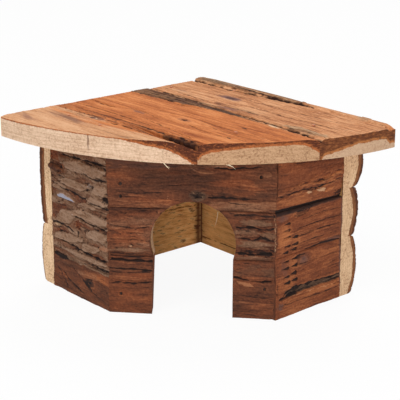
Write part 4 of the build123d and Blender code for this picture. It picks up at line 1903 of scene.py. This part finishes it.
@dataclass(frozen=True)
class Front:
    """The front: three slabs, the lower two parted by the doorway.

    Below the lower seam lie ledges, a curved crack with a pale flake, and the brads' holes. Between the seams
    lie grey-brown plates with black cracks, and a small chip. Over the doorway there are a dark knot, scuffs
    and a pale strip.
    """

    plan: Plan
    door_shift: float = -0.7
    foot: Marks = (
        Patch(PIT, (110.8, 14.3), (1.25, 1.15), 0, 0.15),
        Patch(PIT, (7.3, 22.5), (1.25, 1.15), 0, 0.15),
        Shelf(Touch(lift=0.7, dark=0.22), (125, 33.2), (80, 32.8), 0.7, True),
        Patch(Touch(dark=0.4), (104, 44), (15, 2.2), 0, 0.8),
        Stroke(FURROW, ((119, 40.4), (104, 39.6), (88, 39.4)), 1.1, 0.7, False),
        Stroke(CRACK, ((119, 33.6), (102, 33.4), (88, 32.9)), 0.8, 0.6, False),
        Stroke(HAIRLINE, ((117, 30.7), (100, 30.6), (88, 31.9)), 0.5, 0.5),
        Stroke(CRACK, ((117, 22.9), (100, 22.6), (88, 24.2)), 0.7, 0.5),
        Patch(Touch(lift=0.5, tone=0.14), (103, 26.5), (14, 1.5), 0, 0.5),
        Stroke(FURROW, ((29, 30.6), (20, 28.6), (9, 27.8), (-1, 28.6)), 0.8, 0.5, False),
        Patch(Touch(lift=0.7, tone=0.3, pale=0.3), (21.5, 26), (7.5, 1.7), 12, 0.5),
        Patch(Touch(tone=-0.06, grey=0.3, dark=0.15), (15, 35), (17, 5), 0, 0.7),
        Stroke(HAIRLINE, ((26, 17.5), (12, 16.2), (1, 14.8)), 0.4, 0.4),
        Stroke(Touch(tone=0.3), ((26, 12.5), (10, 11.2), (1, 11.8)), 0.4, 0.4),
    )
    middle: Marks = (
        Shelf(Touch(lift=0.9, tone=0.1, grey=0.1), (125, 74.2), (80, 76.2), 1.9, False, 0.8, 24),
        Shelf(Touch(dark=0.5), (125, 75.4), (80, 77.6), 1.4, True, 1),
        Stroke(HAIRLINE, ((113, 66), (100, 64.6), (90, 65.6)), 0.5, 0.8),
        Patch(Touch(tone=0.1, red=0.4), (104, 58), (15, 7), 0),
        Patch(CHIP, (102.5, 51.1), (1.6, 0.7), 10, 0.3),
        Stroke(HAIRLINE, ((117, 45), (104, 44.4), (92, 46.2)), 0.5, 0.7),
        Patch(Touch(tone=0.1, grey=0.3), (104, 48), (13, 2), 0, 0.7),
        Patch(Touch(lift=0.6, tone=0.08, grey=0.4), (14, 71.5), (14, 2.6), 0, 0.5),
        Patch(Touch(lift=0.6, tone=0.08, grey=0.4), (20, 64), (11, 3), -4, 0.5),
        Patch(Touch(lift=0.6, tone=0.08, grey=0.4), (6.5, 62.5), (6, 3.2), 0, 0.5),
        Patch(Touch(lift=0.6, tone=0.08, grey=0.4), (15, 55.5), (14, 3.2), 0, 0.5),
        Stroke(CRACK, ((28, 67.6), (18, 68.2), (8, 66.4), (1, 68)), 0.8, 0.8),
        Stroke(CRACK, ((27, 60.5), (16, 59), (8, 60.5), (1, 58.6)), 0.8, 0.8),
        Stroke(CRACK, ((13, 59.2), (10.5, 62), (7.5, 59.6)), 0.5, 0.4),
        Patch(Touch(dark=0.6, lift=-0.6), (9, 49.5), (12, 2.6), 0, 0.8),
        Stroke(FURROW, ((29, 49), (16, 47.6), (1, 49)), 1.2, 0.6, False),
        Patch(Touch(lift=0.5, tone=0.06, grey=0.4), (14, 45), (14, 1.8), 0, 0.6),
        Stroke(Touch(dark=0.8, lift=-0.6), ((29, 76.6), (14, 77), (1, 76.2)), 1, 0.6, False),
        Stroke(Touch(pale=0.55, tone=0.2), ((0.9, 76), (0.8, 60), (0.9, 44)), 0.4, 0.1, False),
    )
    top: Marks = (
        Patch(PIT, (110.1, 96.5), (1.5, 1.3), 0, 0.2),
        Patch(PIT, (109.8, 87.2), (1.2, 1.1), 0, 0.2),
        Patch(PIT, (11, 104.8), (1.3, 1.5), 0, 0.2),
        Patch(Touch(tone=0.25, lift=0.2), (7.2, 107), (3.6, 2.2), 0, 0.2),
        Patch(Touch(dark=0.35, violet=0.35), (96, 112), (26, 4.5), 0),
        Patch(Touch(grey=0.4, tone=0.04), (45, 113.5), (22, 3), 0),
        Stroke(CRACK, ((44, 110.8), (33, 109.8), (22, 111), (10, 112)), 0.7, 0.7),
        Stroke(Touch(tone=0.35), ((58, 108), (50, 106.6), (41, 107.2)), 0.6, 0.6),
        Stroke(Touch(pale=0.4), ((60.5, 110.2), (58.6, 109.4), (57, 108.8)), 0.4, 0.8),
        Stroke(Touch(pale=0.4), ((56.4, 109.8), (55, 108.6)), 0.4, 0.8),
        Stroke(Touch(pale=0.6, tone=0.3), ((77.6, 88.8), (75.8, 88.6), (77, 85.2)), 0.32, 0.3, False),
        Knot(Touch(dark=0.5, grey=1, lift=0.4), (55.4, 89.6), (8, 5.4), 0.9),
        Patch(Touch(dark=0.45, grey=0.8, tone=-0.1), (55.4, 89.4), (6.6, 4.2), 0, 0.6, 0.9),
        Patch(Touch(dark=0.8, lift=-1.4), (55.8, 88.8), (1.2, 0.9), 0, 0.5),
        Stroke(Touch(dark=0.5, lift=-0.4), ((56.4, 89.5), (60.4, 90.6)), 0.3, 0.4),
        Stroke(Touch(dark=0.5, lift=-0.4), ((55.2, 89.4), (51.6, 88.4)), 0.3, 0.4),
        Stroke(Touch(dark=0.5, lift=-0.4), ((55.6, 89.8), (54.2, 92.6)), 0.3, 0.4),
        Stroke(CHIP, ((57.6, 91.6), (58.6, 92.4)), 0.35, 0.2),
        Stroke(CHIP, ((52.6, 90.6), (51.6, 88.8)), 0.4, 0.3),
        Stroke(CHIP, ((57.2, 87.4), (55.6, 86.6)), 0.35, 0.3),
        Stroke(CRACK, ((48, 88.4), (30, 88.8), (12, 88.4)), 0.8, 0.8),
        Shelf(
            Touch(lift=0.9, tone=0.28, grey=0.12, red=-0.1), (48.5, 86.3), (-0.5, 87.6), 0.8, False, 0.5, 5.5,
        ),
        Stroke(HAIRLINE, ((34, 85.6), (26, 84.8), (18, 85.4)), 0.5, 0.8),
        Stroke(Touch(tone=0.25, lift=0.3), ((116, 84.4), (96, 83.6), (82, 85), (66, 86.6)), 0.5, 0.6),
        Patch(Touch(tone=-0.14, red=-0.1), (62, 98), (60, 15), 0, 0.3, 0.8),
        Stroke(HAIRLINE, ((113, 90.8), (95, 89.8), (78, 91.6)), 0.5, 0.6),
        Patch(Touch(dark=0.35), (110, 87.6), (8, 2.2), 0, 0.8),
        Shelf(Touch(dark=0.9, lift=-0.7), (119, 77.8), (80, 80), 0.5, False, 0.6),
        Patch(Touch(pale=0.4, tone=0.3), (74.5, 79), (1.2, 3.4), 24, 0.3),
        Stroke(Touch(tone=0.25), ((40, 101), (26, 99.4), (8, 97.5)), 0.5, 0.7),
        Patch(Touch(red=0.3, tone=0.06), (30, 97), (22, 7), 0),
    )

    def slabs(self) -> tuple[Slab, ...]:
        """Places the slabs and lets the doorway cut them.

        Returns:
            The five pieces of the front, from the floor up.
        """
        plan = self.plan
        left_corner = plan.at(plan.left_end, plan.back_left_inset + plan.left_width)
        right_corner = plan.at(plan.back_right_inset + plan.right_width, plan.right_end)
        width = float(np.linalg.norm(left_corner - right_corner))
        outward = np.cross(UP, (left_corner - right_corner) / width)
        wall = Wall(right_corner - outward * plan.panel, outward, width)
        shared = {"plan": plan, "doorway": Doorway(width / 2 + self.door_shift)}
        reddish = replace(SMOOTH, flakes=3, flake_lift=0.8, ledge_dark=0.35, base=Touch(tone=0.27, red=0.7))
        scaly = replace(
            SCALY, flake=(26.0, 6.0), flakes=4, furrow_dark=0.25, fibre=(12.0, 1.8), fibre_tone=0.12,
            hollow_dark=0.5, edge_light=0.2, base=Touch(tone=0.26, red=0.5), high=Touch(tone=0.08, grey=0.35),
        )
        return (
            FrontSlab("front_bottom_left", wall, reddish, self.foot, cut=Cut.LEFT, seed=31, **shared),
            FrontSlab("front_bottom_right", wall, reddish, self.foot, cut=Cut.RIGHT, seed=32, **shared),
            FrontSlab("front_middle_left", wall, scaly, self.middle, cut=Cut.LEFT, seed=33, **shared),
            FrontSlab("front_middle_right", wall, scaly, self.middle, cut=Cut.RIGHT, seed=34, **shared),
            FrontSlab("front_top", wall, SMOOTH, self.top, cut=Cut.WHOLE, seed=35, **shared),
        )


@dataclass(frozen=True)
class BackWalls:
    """The two back walls, which meet square under the roof's back corner."""

    plan: Plan
    spacing: float = 0.75
    low_left: Marks = (
        Stroke(Touch(dark=1.1, lift=-0.1), ((108, 35.2), (124, 34.6), (140, 33.6)), 0.45, 0.5),
        Patch(Touch(dark=0.7), (141, 15.6), (3, 0.6), -14, 0.3),
        Patch(Touch(dark=0.6), (142, 12.8), (2.4, 0.5), -14, 0.3),
        Patch(Touch(dark=0.6), (141.4, 9.8), (1.8, 0.4), -14, 0.3),
    )
    low_right: Marks = (
        Stroke(Touch(dark=1.2, lift=-0.1), ((0, 6), (20, 6.2), (44, 6)), 0.4, 0.4, False),
    )

    def slabs(self) -> tuple[Slab, ...]:
        """Places the slabs, so that the left wall laps over the end of the right one.

        Returns:
            The five slabs of both walls.
        """
        plan = self.plan
        left_reach = plan.left_end - plan.back_right_inset
        right_reach = plan.right_end - plan.back_left_inset
        left = Wall(plan.at(plan.left_end, plan.back_left_inset), -RIGHT, left_reach + plan.lap)
        right = Wall(plan.at(plan.back_right_inset, plan.back_left_inset), -LEFT, right_reach)
        shared = {"spacing": self.spacing}
        return (
            BackSlab(
                "back_left_lower", left, SMOOTH, edge=12.0, crown=15.2, inner_corner=left_reach,
                bark=(0.9, 0.3), inner_marks=self.low_left, sawn_rough=1.0, seed=41, **shared,
            ),
            BackSlab(
                "back_left_upper", left, SMOOTH, edge=12.4, crown=14.6, inner_corner=left_reach,
                bark=(6.0, 1.0), sawn_rough=1.0, seed=42, **shared,
            ),
            BackSlab(
                "back_right_bottom", right, SMOOTH, edge=12.2, crown=17.0, bark=(3.6, 0.8),
                inner_marks=self.low_right, seed=43, **shared,
            ),
            BackSlab(
                "back_right_middle", right, FLAKY, edge=12.2, crown=17.0, bark=(5.5, 1.2), seed=44, **shared,
            ),
            BackSlab(
                "back_right_top", right, SMOOTH, edge=14.0, crown=20.6, bark=(5.0, 1.0), seed=45, **shared,
            ),
        )


@dataclass(frozen=True)
class Sliver:
    """A torn sliver of wood that stands off a sawn face or edge, from its root over a bow to its tip."""

    root: Triple
    tip: Triple
    bow: Triple = (0.0, 0.0, 0.0)
    width: float = 0.35

    def shell(self, turns: Array, steps: Array) -> Array:
        """Rings of points round a parabola from root to tip, their radius falling with the root of the rest.

        Args:
            turns: Angles of the points of a ring.
            steps: Shares of the length at which the rings lie, from 0 to 1.

        Returns:
            Points, ring after ring, in millimetres.
        """
        root, tip, bow = (np.array(point) for point in (self.root, self.tip, self.bow))
        run = tip - root
        side = np.cross(run, UP + 0.3 * LEFT)
        side = side / np.linalg.norm(side)
        over = np.cross(side, run) / np.linalg.norm(run)
        part = steps[:, None, None]
        middle = root + part * run + 4 * part * (1 - part) * bow
        ring = np.cos(turns)[None, :, None] * side + 0.5 * np.sin(turns)[None, :, None] * over
        return middle + self.width * np.sqrt(1.02 - part) * ring


@dataclass(frozen=True)
class Slivers:
    """The slivers that the saw left: four under the rim, in two pairs, and one on the inside."""

    plan: Plan
    sides: int = 6
    rings: int = 10
    rods: tuple[Sliver, ...] = (
        Sliver((-16.7, -98.9, 119.0), (-13.0, -98.9, 115.0), (0.1, 0.0, -0.2), 0.34),
        Sliver((-14.6, -98.9, 116.6), (-12.2, -98.9, 116.2), (0.0, 0.0, -0.1), 0.2),
        Sliver((26.8, -99.0, 119.0), (31.6, -98.8, 115.9), (0.1, 0.0, 0.2), 0.28),
        Sliver((25.6, -99.0, 118.9), (29.4, -98.8, 117.3), (0.1, 0.0, 0.1), 0.2),
    )

    def indoors(self) -> Sliver:
        """The pale sliver on the sawn face of the back right wall.

        Returns:
            The sliver.
        """
        root = self.plan.at(self.plan.back_right_inset + 0.2, self.plan.back_left_inset + 21.4, 31.8)
        tip = self.plan.at(self.plan.back_right_inset + 1.2, self.plan.back_left_inset + 19.4, 20.1)
        return Sliver(tuple(root), tuple(tip), (0.4, -0.4, 0.0), 0.75)

    def build(self) -> bpy.types.Object:
        """Makes one mesh of all slivers, each closed at both ends by a fan round a point of its own.

        Returns:
            The object.
        """
        turns = np.linspace(0, 2 * np.pi, self.sides, endpoint=False)
        steps = np.linspace(0, 1, self.rings)
        number = np.arange(self.rings * self.sides).reshape(self.rings, self.sides)
        beside = np.roll(number, -1, axis=1)
        quads = np.stack([number[:-1], beside[:-1], beside[1:], number[1:]], axis=-1).reshape(-1, 4)
        first, last = number.size, number.size + 1
        low = np.stack([number[0], np.full(self.sides, first), beside[0]], axis=-1)
        high = np.stack([beside[-1], np.full(self.sides, last), number[-1]], axis=-1)
        points, faces = [], []
        for rod in (*self.rods, self.indoors()):
            shell = rod.shell(turns, steps)
            start = sum(len(part) for part in points)
            points.append(np.concatenate([shell.reshape(-1, 3), shell[[0, -1]].mean(axis=1)]))
            faces += (quads + start).tolist() + (low + start).tolist() + (high + start).tolist()
        places = np.concatenate(points)
        mesh = bpy.data.meshes.new("saw_slivers")
        mesh.from_pydata((places * MM).tolist(), [], faces)
        for name, value in (("grain", places), ("skin", (0.7, 0.0, 0.0)), ("marks", (0.0, 0.2, 0.0))):
            values = np.broadcast_to(np.asarray(value, np.float32), places.shape)
            mesh.attributes.new(name, "FLOAT_VECTOR", "POINT").data.foreach_set("vector", values.ravel())
        mesh.shade_smooth()
        piece = bpy.data.objects.new("saw_slivers", mesh)
        bpy.context.collection.objects.link(piece)
        return piece


@dataclass(frozen=True)
class Roof:
    """The roof: three live-edge boards with their grain towards the right.

    The left one has a bluish knot, a purple streak, a grey lens and a rough edge at the seam. The middle one
    has dark lines, a knot with long arcs and both rough edges. The right one has a ridge at the seam, stains
    and an edge of bark.
    """

    plan: Plan
    left: Marks = (
        Patch(Touch(violet=0.6, tone=-0.12), (13, 180.4), (24, 4.6), 8, 0.4, 1),
        Patch(Touch(grey=0.52, violet=0.4, tone=-0.14), (36, 160.6), (36, 7.2), 4, 0.45, 1),
        Patch(Touch(red=0.5, dark=0.12), (10, 152), (26, 5), 2, 0.5, 1),
        Knot(Touch(dark=0.7, violet=1), (51.8, 145.6), (8.6, 4), 1.5),
        Patch(Touch(pale=0.7, dark=-0.9, violet=-0.4), (51, 145.8), (1.9, 1), 0, 0.3),
        Patch(Touch(dark=0.2), (66, 143), (12, 2), 0, 0.4, 0.9),
        Shelf(Touch(red=0.9, tone=-0.14), (-6, 148.5), (130, 143), 2, False, 4),
        Patch(Touch(red=0.8, tone=-0.12), (70, 150), (66, 8.5), -6, 0.4, 0.8),
        Stroke(
            Touch(red=0.7, dark=0.35), ((0, 143.5), (40, 142.5), (80, 142.5), (140, 137.5)), 1.4, 1.6, False,
        ),
        Stroke(HAIRLINE, ((14, 147.5), (44, 147), (64, 143.6)), 0.6, 1.2),
        Stroke(CRACK, ((62, 146), (90, 143.6), (124, 139.6)), 0.7, 1.4),
        Stroke(Touch(pale=0.4, tone=0.2, lift=0.4), ((100, 147), (114, 144.8), (132, 140)), 0.35, 1.8),
        Stroke(Touch(pale=0.3, tone=0.2, lift=0.4), ((108, 151), (122, 148.6), (136, 143.4)), 0.35, 1.8),
        Stroke(Touch(dark=0.5, red=0.5, lift=-0.4), ((20, 141.5), (60, 139.6), (110, 138)), 0.9, 2.2),
        Stroke(HAIRLINE, ((4, 145), (30, 144.6), (56, 141)), 0.6, 1.8),
        Stroke(Touch(dark=0.6, lift=-0.4), ((70, 140), (98, 139), (130, 136.6)), 0.8, 1.6),
        Patch(Touch(red=0.7, tone=-0.1, dark=0.15), (100, 142), (44, 4), -5, 0.5, 0.9),
        # Partly dark bark and partly painted shade: the hollow where the left board falls away beside the
        # middle board.
        Patch(Touch(dark=0.1, tone=-0.26, red=0.5), (142, 138.5), (25, 7), -4, 0.3, 0.4),
        Stroke(CRACK, ((106, 139), (128, 137.2), (146, 135.6)), 0.7, 1),
        Stroke(Touch(dark=0.5, lift=-0.5), ((112, 143.5), (128, 141.4), (140, 141)), 0.5, 1.4),
        Stroke(Touch(tone=0.3, lift=0.4), ((120, 141), (132, 139.4), (143, 138.6)), 0.5, 1.4),
    )
    middle: Marks = (
        Shelf(Touch(tone=-0.1, dark=0.1, grey=0.1), (-5, 113.5), (168, 131), 1.6, True, 2.5),
        Stroke(CRACK, ((0, 113.1), (16, 115), (34, 115)), 0.8, 1),
        Stroke(HAIRLINE, ((30, 114), (44, 109.5), (56, 107), (80, 112)), 0.6, 0.8),
        Stroke(Touch(dark=0.7, lift=-0.4), ((66, 118), (104, 124), (136, 128.4)), 0.5, 1.2),
        Stroke(Touch(pale=0.45, tone=0.3, lift=0.4), ((112, 130.4), (128, 131.2), (146, 131.6)), 0.5, 0.7),
        Stroke(HAIRLINE, ((10, 136.5), (60, 134.5), (110, 133.5), (150, 130.5)), 0.6, 1.4),
        Shelf(Touch(dark=0.22, red=0.1), (-5, 137), (168, 128), 1.6, True, 1.4),
        Stroke(HAIRLINE, ((0, 127), (50, 126.5), (96, 128.5)), 0.5, 1),
        Patch(Touch(violet=0.65, dark=0.3), (56, 110.8), (9, 2.2), 2, 0.3, 0.5),
        Knot(Touch(dark=0.6, violet=0.5), (94.8, 100.7), (8.5, 3.4), 2.2),
        Patch(Touch(dark=1.1, lift=-0.5), (95.5, 100.5), (2.6, 1.5), 0, 0.2),
        Stroke(HAIRLINE, ((104, 106), (124, 110.6), (146, 109.6), (166, 105)), 0.55, 0.6),
        Stroke(HAIRLINE, ((108, 96.5), (130, 100.5), (150, 101), (172, 97.5)), 0.45, 0.6),
        Stroke(HAIRLINE, ((100, 92), (128, 94), (176, 91)), 0.4, 0.6),
        Patch(Touch(dark=0.9), (140.4, 83.6), (4, 1), 0, 0.3),
        Patch(Touch(dark=0.9), (152.8, 109.7), (2.6, 0.9), 0, 0.3),
        Patch(Touch(lift=-0.5, grey=0.4, dark=0.3, red=-0.2), (134, 134), (22, 2), -3, 0.5),
        Stroke(FURROW, ((116, 135), (132, 134.2), (150, 133.2)), 0.6, 0.6),
        Shelf(Touch(lift=0.3, grey=0.65, red=-0.6, tone=-0.26), (-6, 76), (46, 73), 2, False, 1.6, 60, 4),
        Shelf(Touch(lift=0.4, grey=0.65, red=-0.6, tone=-0.36), (40, 73.5), (116, 64), 2, False, 1.6, 60, 6),
        Patch(Touch(tone=0.2, pale=0.2), (30, 70), (34, 1), -3, 0.5, 0.9),
        Stroke(Touch(dark=0.8, lift=-0.5), ((-2, 74.6), (24, 72), (50, 70.6)), 0.6, 1.6),
        Patch(Touch(dark=0.4), (60, 66.5), (30, 1.4), 2, 0.5, 0.9),
        Stroke(FURROW, ((0, 72.7), (28, 69.5), (57, 73), (84, 69)), 0.8, 1.2),
        Stroke(CRACK, ((6, 66), (40, 65.5), (78, 66.5)), 1, 1.2),
        Patch(Touch(dark=0.08, grey=0.3, red=-0.2), (100, 63.5), (34, 2.4), 1, 0.6, 0.7),
        Stroke(CRACK, ((0, 62), (44, 61), (90, 63)), 0.6, 1),
        Patch(Touch(grey=0.7, tone=-0.1, lift=0.5), (120, 61.5), (40, 2.6), 0, 0.5),
        Patch(Touch(pale=0.9, lift=0.5), (147.4, 62.6), (7, 1.3), 0, 0.6),
    )
    right: Marks = (
        Stroke(FURROW, ((0, 57), (62, 57.6), (107, 57.8), (150, 59), (196, 63)), 1.5, 0.8, False),
        Stroke(CRACK, ((0, 53.6), (30, 54.8), (66, 55.6)), 0.8, 1),
        Patch(Touch(grey=0.5, red=-0.3, tone=-0.08), (50, 55.5), (48, 2.4), 0, 0.5, 0.8),
        Patch(Touch(violet=0.9, dark=0.2), (64.9, 29.6), (17, 6), 4, 0.35, 0.6),
        Patch(Touch(dark=0.4, violet=0.3, lift=-0.3), (66.4, 29.4), (8, 2.6), 0, 0.3, 0.5),
        Patch(Touch(violet=0.4, red=0.3, dark=0.4), (71.8, 46.5), (7, 2.6), 0, 0.4, 0.6),
        Patch(Touch(violet=0.7, dark=0.2), (89, 52.6), (15, 4), 0, 0.4, 0.8),
        Patch(Touch(violet=0.3), (22, 41), (14, 3.6), 0, 0.35, 0.9),
        Patch(Touch(grey=0.3, dark=0.12, lift=0.2), (104, 50), (34, 6.5), 0, 0.6, 0.9),
        Knot(Touch(dark=0.6), (83.8, 56), (4, 2), 1.6),
        Stroke(HAIRLINE, ((24, 47), (70, 49.5), (128, 48)), 0.6, 1),
        Stroke(HAIRLINE, ((84, 36), (130, 37.5), (180, 36)), 0.5, 1),
        Stroke(HAIRLINE, ((60, 21), (120, 23.5), (184, 22)), 0.5, 1),
        Patch(Touch(grey=0.5, lift=0.5, tone=0.16), (172, 56), (24, 5.5), 0, 0.5, 0.4),
        Stroke(Touch(dark=0.7, lift=-0.4), ((150, 53), (170, 51), (192, 52.5)), 0.45, 1.6),
        Stroke(Touch(dark=0.7, lift=-0.4), ((156, 58), (174, 56.6), (196, 58.8)), 0.45, 1.6),
        Shelf(Touch(lift=1.4, grey=0.36, red=-0.1, tone=-0.12), (-6, 10.6), (118, 4.2), 1.4, False, 1.2),
        Shelf(Touch(lift=1.4, grey=0.1), (112, 5), (230, 4.6), 1.4, False, 1.2),
        Shelf(Touch(lift=0.8, grey=0.1, tone=0.04), (-6, 7.6), (118, 3), 2.4, False, 1.6, 60, 26),
        Patch(Touch(lift=0.9, grey=0.3), (178, 2), (7, 3), 0),
        Patch(Touch(lift=-2.6, tone=-0.1, red=0.3), (206, 1), (9, 9), 0, 0.2, 0.8),
        Stroke(FURROW, ((0, 10.6), (38, 10.8), (64, 8.6), (90, 6), (122, 3.4)), 1.3, 0.9, False),
        Stroke(Touch(dark=0.7, lift=-0.6), ((0, 10.2), (38, 10.4), (66, 8.2)), 1, 0.7, False),
        Stroke(CRACK, ((20, 5), (70, 4.4), (130, 4.8)), 0.6, 0.8),
        Patch(Touch(lift=0.5, grey=0.2), (20, 5), (16, 4), 0, 0.5),
        Plate(Touch(lift=0.7, tone=0.06), (8, 4.4), (12, 2.4), 0),
        Plate(Touch(lift=0.7, tone=0.06), (46, 4.2), (15, 2.2), 0),
        Patch(Touch(dark=0.3), (60, 6), (24, 2), 0, 0.6),
    )

    def boards(self) -> tuple[RoofBoard, ...]:
        """Places the boards between the seams.

        Returns:
            The three boards, from the left.
        """
        plan = self.plan
        bearing = plan.left_end - plan.left_board_bearing
        left_seam = (bearing, bearing - plan.left_seam_slant)
        right_seam = (plan.right_board_back, plan.right_board_rim)
        reach = plan.roof_left
        return (
            RoofBoard(
                "roof_board_left", plan, left_seam, (reach, reach), ROOF, self.left, crown=15.2, bark=0.7,
                low_edge=LiveEdge(15.0, 6.0, 0.1, 1.6, 32.0, 10.2, 1.2),
                high_edge=LiveEdge(7.0, 1.0, 1.0, 2.0, 8.0, 0.3),
                seed=51, spacing=0.78,
            ),
            RoofBoard(
                "roof_board_middle", plan, right_seam, left_seam, ROOF_ORANGE, self.middle,
                crown=14.9, bark=2.8,
                low_edge=LiveEdge(9.0, 1.6, 0.3, 1.5, 17.0, 5.4, 1.6),
                high_edge=LiveEdge(8.0, 2.0, 0.1, 1.7, 40.0, 6.0, 2.2),
                seed=52,
            ),
            RoofBoard(
                "roof_board_right", plan, (0.0, 0.0), right_seam, ROOF_DULL, self.right, crown=14.4, bark=6.6,
                low_edge=LiveEdge(5.0, 0.2, 0.2, 1.5, 15.0, 2.6, 0.8),
                high_edge=LiveEdge(7.0, 1.0, 0.3, 1.5, 30.0, 7.2, 1.2),
                seed=53,
            ),
        )


@dataclass(frozen=True)
class Studio:
    """Floor, light and camera."""

    camera_place: Triple = (0.06967, -0.93380, 0.36402)
    yaw: float = -4.238
    pitch: float = 17.901
    roll: float = 0.085
    lens: float = 117.098
    sensor: float = 36.0
    clip: Pair = (0.01, 100.0)
    floor_size: float = 30.0
    floor_grey: float = 0.86
    glow: float = 0.93
    fill: float = 0.42
    aim: Triple = (0.0, 0.0, 0.07)

    def camera(self) -> None:
        """Sets the camera: its axes are worked out from yaw, pitch and roll, in degrees."""
        yaw, pitch, roll = np.radians([self.yaw, self.pitch, self.roll])
        ahead = np.array([np.sin(yaw) * np.cos(pitch), np.cos(yaw) * np.cos(pitch), -np.sin(pitch)])
        level = np.array([np.cos(yaw), -np.sin(yaw), 0.0])
        over = np.cross(level, ahead)
        side = np.cos(roll) * level + np.sin(roll) * over
        top = np.cos(roll) * over - np.sin(roll) * level
        matrix = np.eye(4)
        matrix[:3, :3] = np.stack([side, top, -ahead], axis=1)
        matrix[:3, 3] = self.camera_place
        data = bpy.data.cameras.new("camera")
        data.lens, data.sensor_width, data.sensor_fit = self.lens, self.sensor, "HORIZONTAL"
        data.clip_start, data.clip_end = self.clip
        camera = bpy.data.objects.new("camera", data)
        camera.matrix_world = Matrix(matrix.tolist())
        bpy.context.collection.objects.link(camera)
        bpy.context.scene.camera = camera

    def floor(self) -> None:
        """Lays a pale floor that glows white to the camera and still takes a soft shadow."""
        half = self.floor_size / 2
        mesh = bpy.data.meshes.new("floor")
        corners = [(-half, -half, 0), (half, -half, 0), (half, half, 0), (-half, half, 0)]
        mesh.from_pydata(corners, [], [(0, 1, 2, 3)])
        tree = NodeTree(bpy.data.materials.new("floor_white"))
        dull = tree.add("ShaderNodeBsdfDiffuse", {"Color": (*[self.floor_grey] * 3, 1.0)})
        white = tree.add("ShaderNodeEmission", {"Strength": 1.0})
        share = tree.math("MULTIPLY", tree.seen(), self.glow)
        both = tree.add("ShaderNodeMixShader", {0: share, 1: dull.outputs[0], 2: white.outputs[0]})
        tree.add("ShaderNodeOutputMaterial", {"Surface": both.outputs[0]})
        mesh.materials.append(tree.owner)
        floor = bpy.data.objects.new("floor", mesh)
        bpy.context.collection.objects.link(floor)

    def world(self) -> None:
        """Gives an even light all round, white where it is seen."""
        world = bpy.data.worlds.new("studio")
        tree = NodeTree(world)
        fill = tree.add("ShaderNodeBackground", {"Color": WHITE, "Strength": self.fill})
        white = tree.add("ShaderNodeBackground", {"Color": WHITE})
        both = tree.add("ShaderNodeMixShader", {0: tree.seen(), 1: fill.outputs[0], 2: white.outputs[0]})
        tree.add("ShaderNodeOutputWorld", {0: both.outputs[0]})
        bpy.context.scene.world = world

    def lamp(self, name: str, place: Triple, power: float, size: float) -> None:
        """Hangs a square soft lamp that looks at the hide.

        Args:
            name: Name of the lamp.
            place: Its place, in metres.
            power: Its power, in watts.
            size: Its side, in metres.
        """
        data = bpy.data.lights.new(name, "AREA")
        data.energy, data.size = power, size
        lamp = bpy.data.objects.new(name, data)
        aim = Vector(self.aim) - Vector(place)
        lamp.matrix_world = Matrix.Translation(place) @ aim.to_track_quat("-Z", "Y").to_matrix().to_4x4()
        bpy.context.collection.objects.link(lamp)

    def set_up(self) -> None:
        """Sets the view, the camera, the floor and the light."""
        bpy.context.scene.view_settings.view_transform = "Standard"
        self.camera()
        self.floor()
        self.world()
        self.lamp("front", (0.05, -1.7, 0.34), power=10.5, size=0.7)
        self.lamp("key", (-0.8, -1.1, 1.7), power=17.0, size=0.9)
        self.lamp("side", (1.5, -0.9, 0.9), power=6.0, size=1.0)
        self.lamp("back", (0.2, 1.0, 1.8), power=15.0, size=1.2)


def dress(piece: bpy.types.Object, node: str, materials: list[bpy.types.Material]) -> None:
    """Gives a piece its materials and puts it in the place of a node of the frame.

    Args:
        piece: The piece.
        node: Name of the node that it stands for.
        materials: Its materials, in the order of its faces' numbers.
    """
    for material in materials:
        piece.data.materials.append(material)
    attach(piece, "root")
    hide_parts(node)
    log.info("%s: %d faces", piece.name, len(piece.data.polygons))


def main() -> None:
    """Builds the hide around the frame, and the studio round it."""
    logging.basicConfig(level=logging.INFO, format="%(name)s: %(message)s")
    Studio().set_up()
    plan, finishes = Plan(), Finishes()
    for board in Roof(plan).boards():
        materials = [finishes.roof_bark, finishes.sawn, finishes.rims[board.name]]
        dress(board.build(), board.name, materials)
    walls = (LeftSide(plan), RightSide(plan), Front(plan), BackWalls(plan))
    for slab in sum((wall.slabs() for wall in walls), ()):
        materials = [finishes.wall_bark, finishes.sawn, finishes.end_of(slab.name)]
        dress(slab.build(), slab.name, materials)
    slivers = Slivers(plan).build()
    slivers.data.materials.append(finishes.sliver)
    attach(slivers, "root")
    log.info("%s: %d faces", slivers.name, len(slivers.data.polygons))
    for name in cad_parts:
        if name.endswith("brads"):
            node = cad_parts[name]
            node.data.materials.clear()
            node.data.materials.append(finishes.rusty if name.startswith("roof") else finishes.steel)
            log.info("%s keeps its shape", name)


if __name__ == "__main__":
    main()
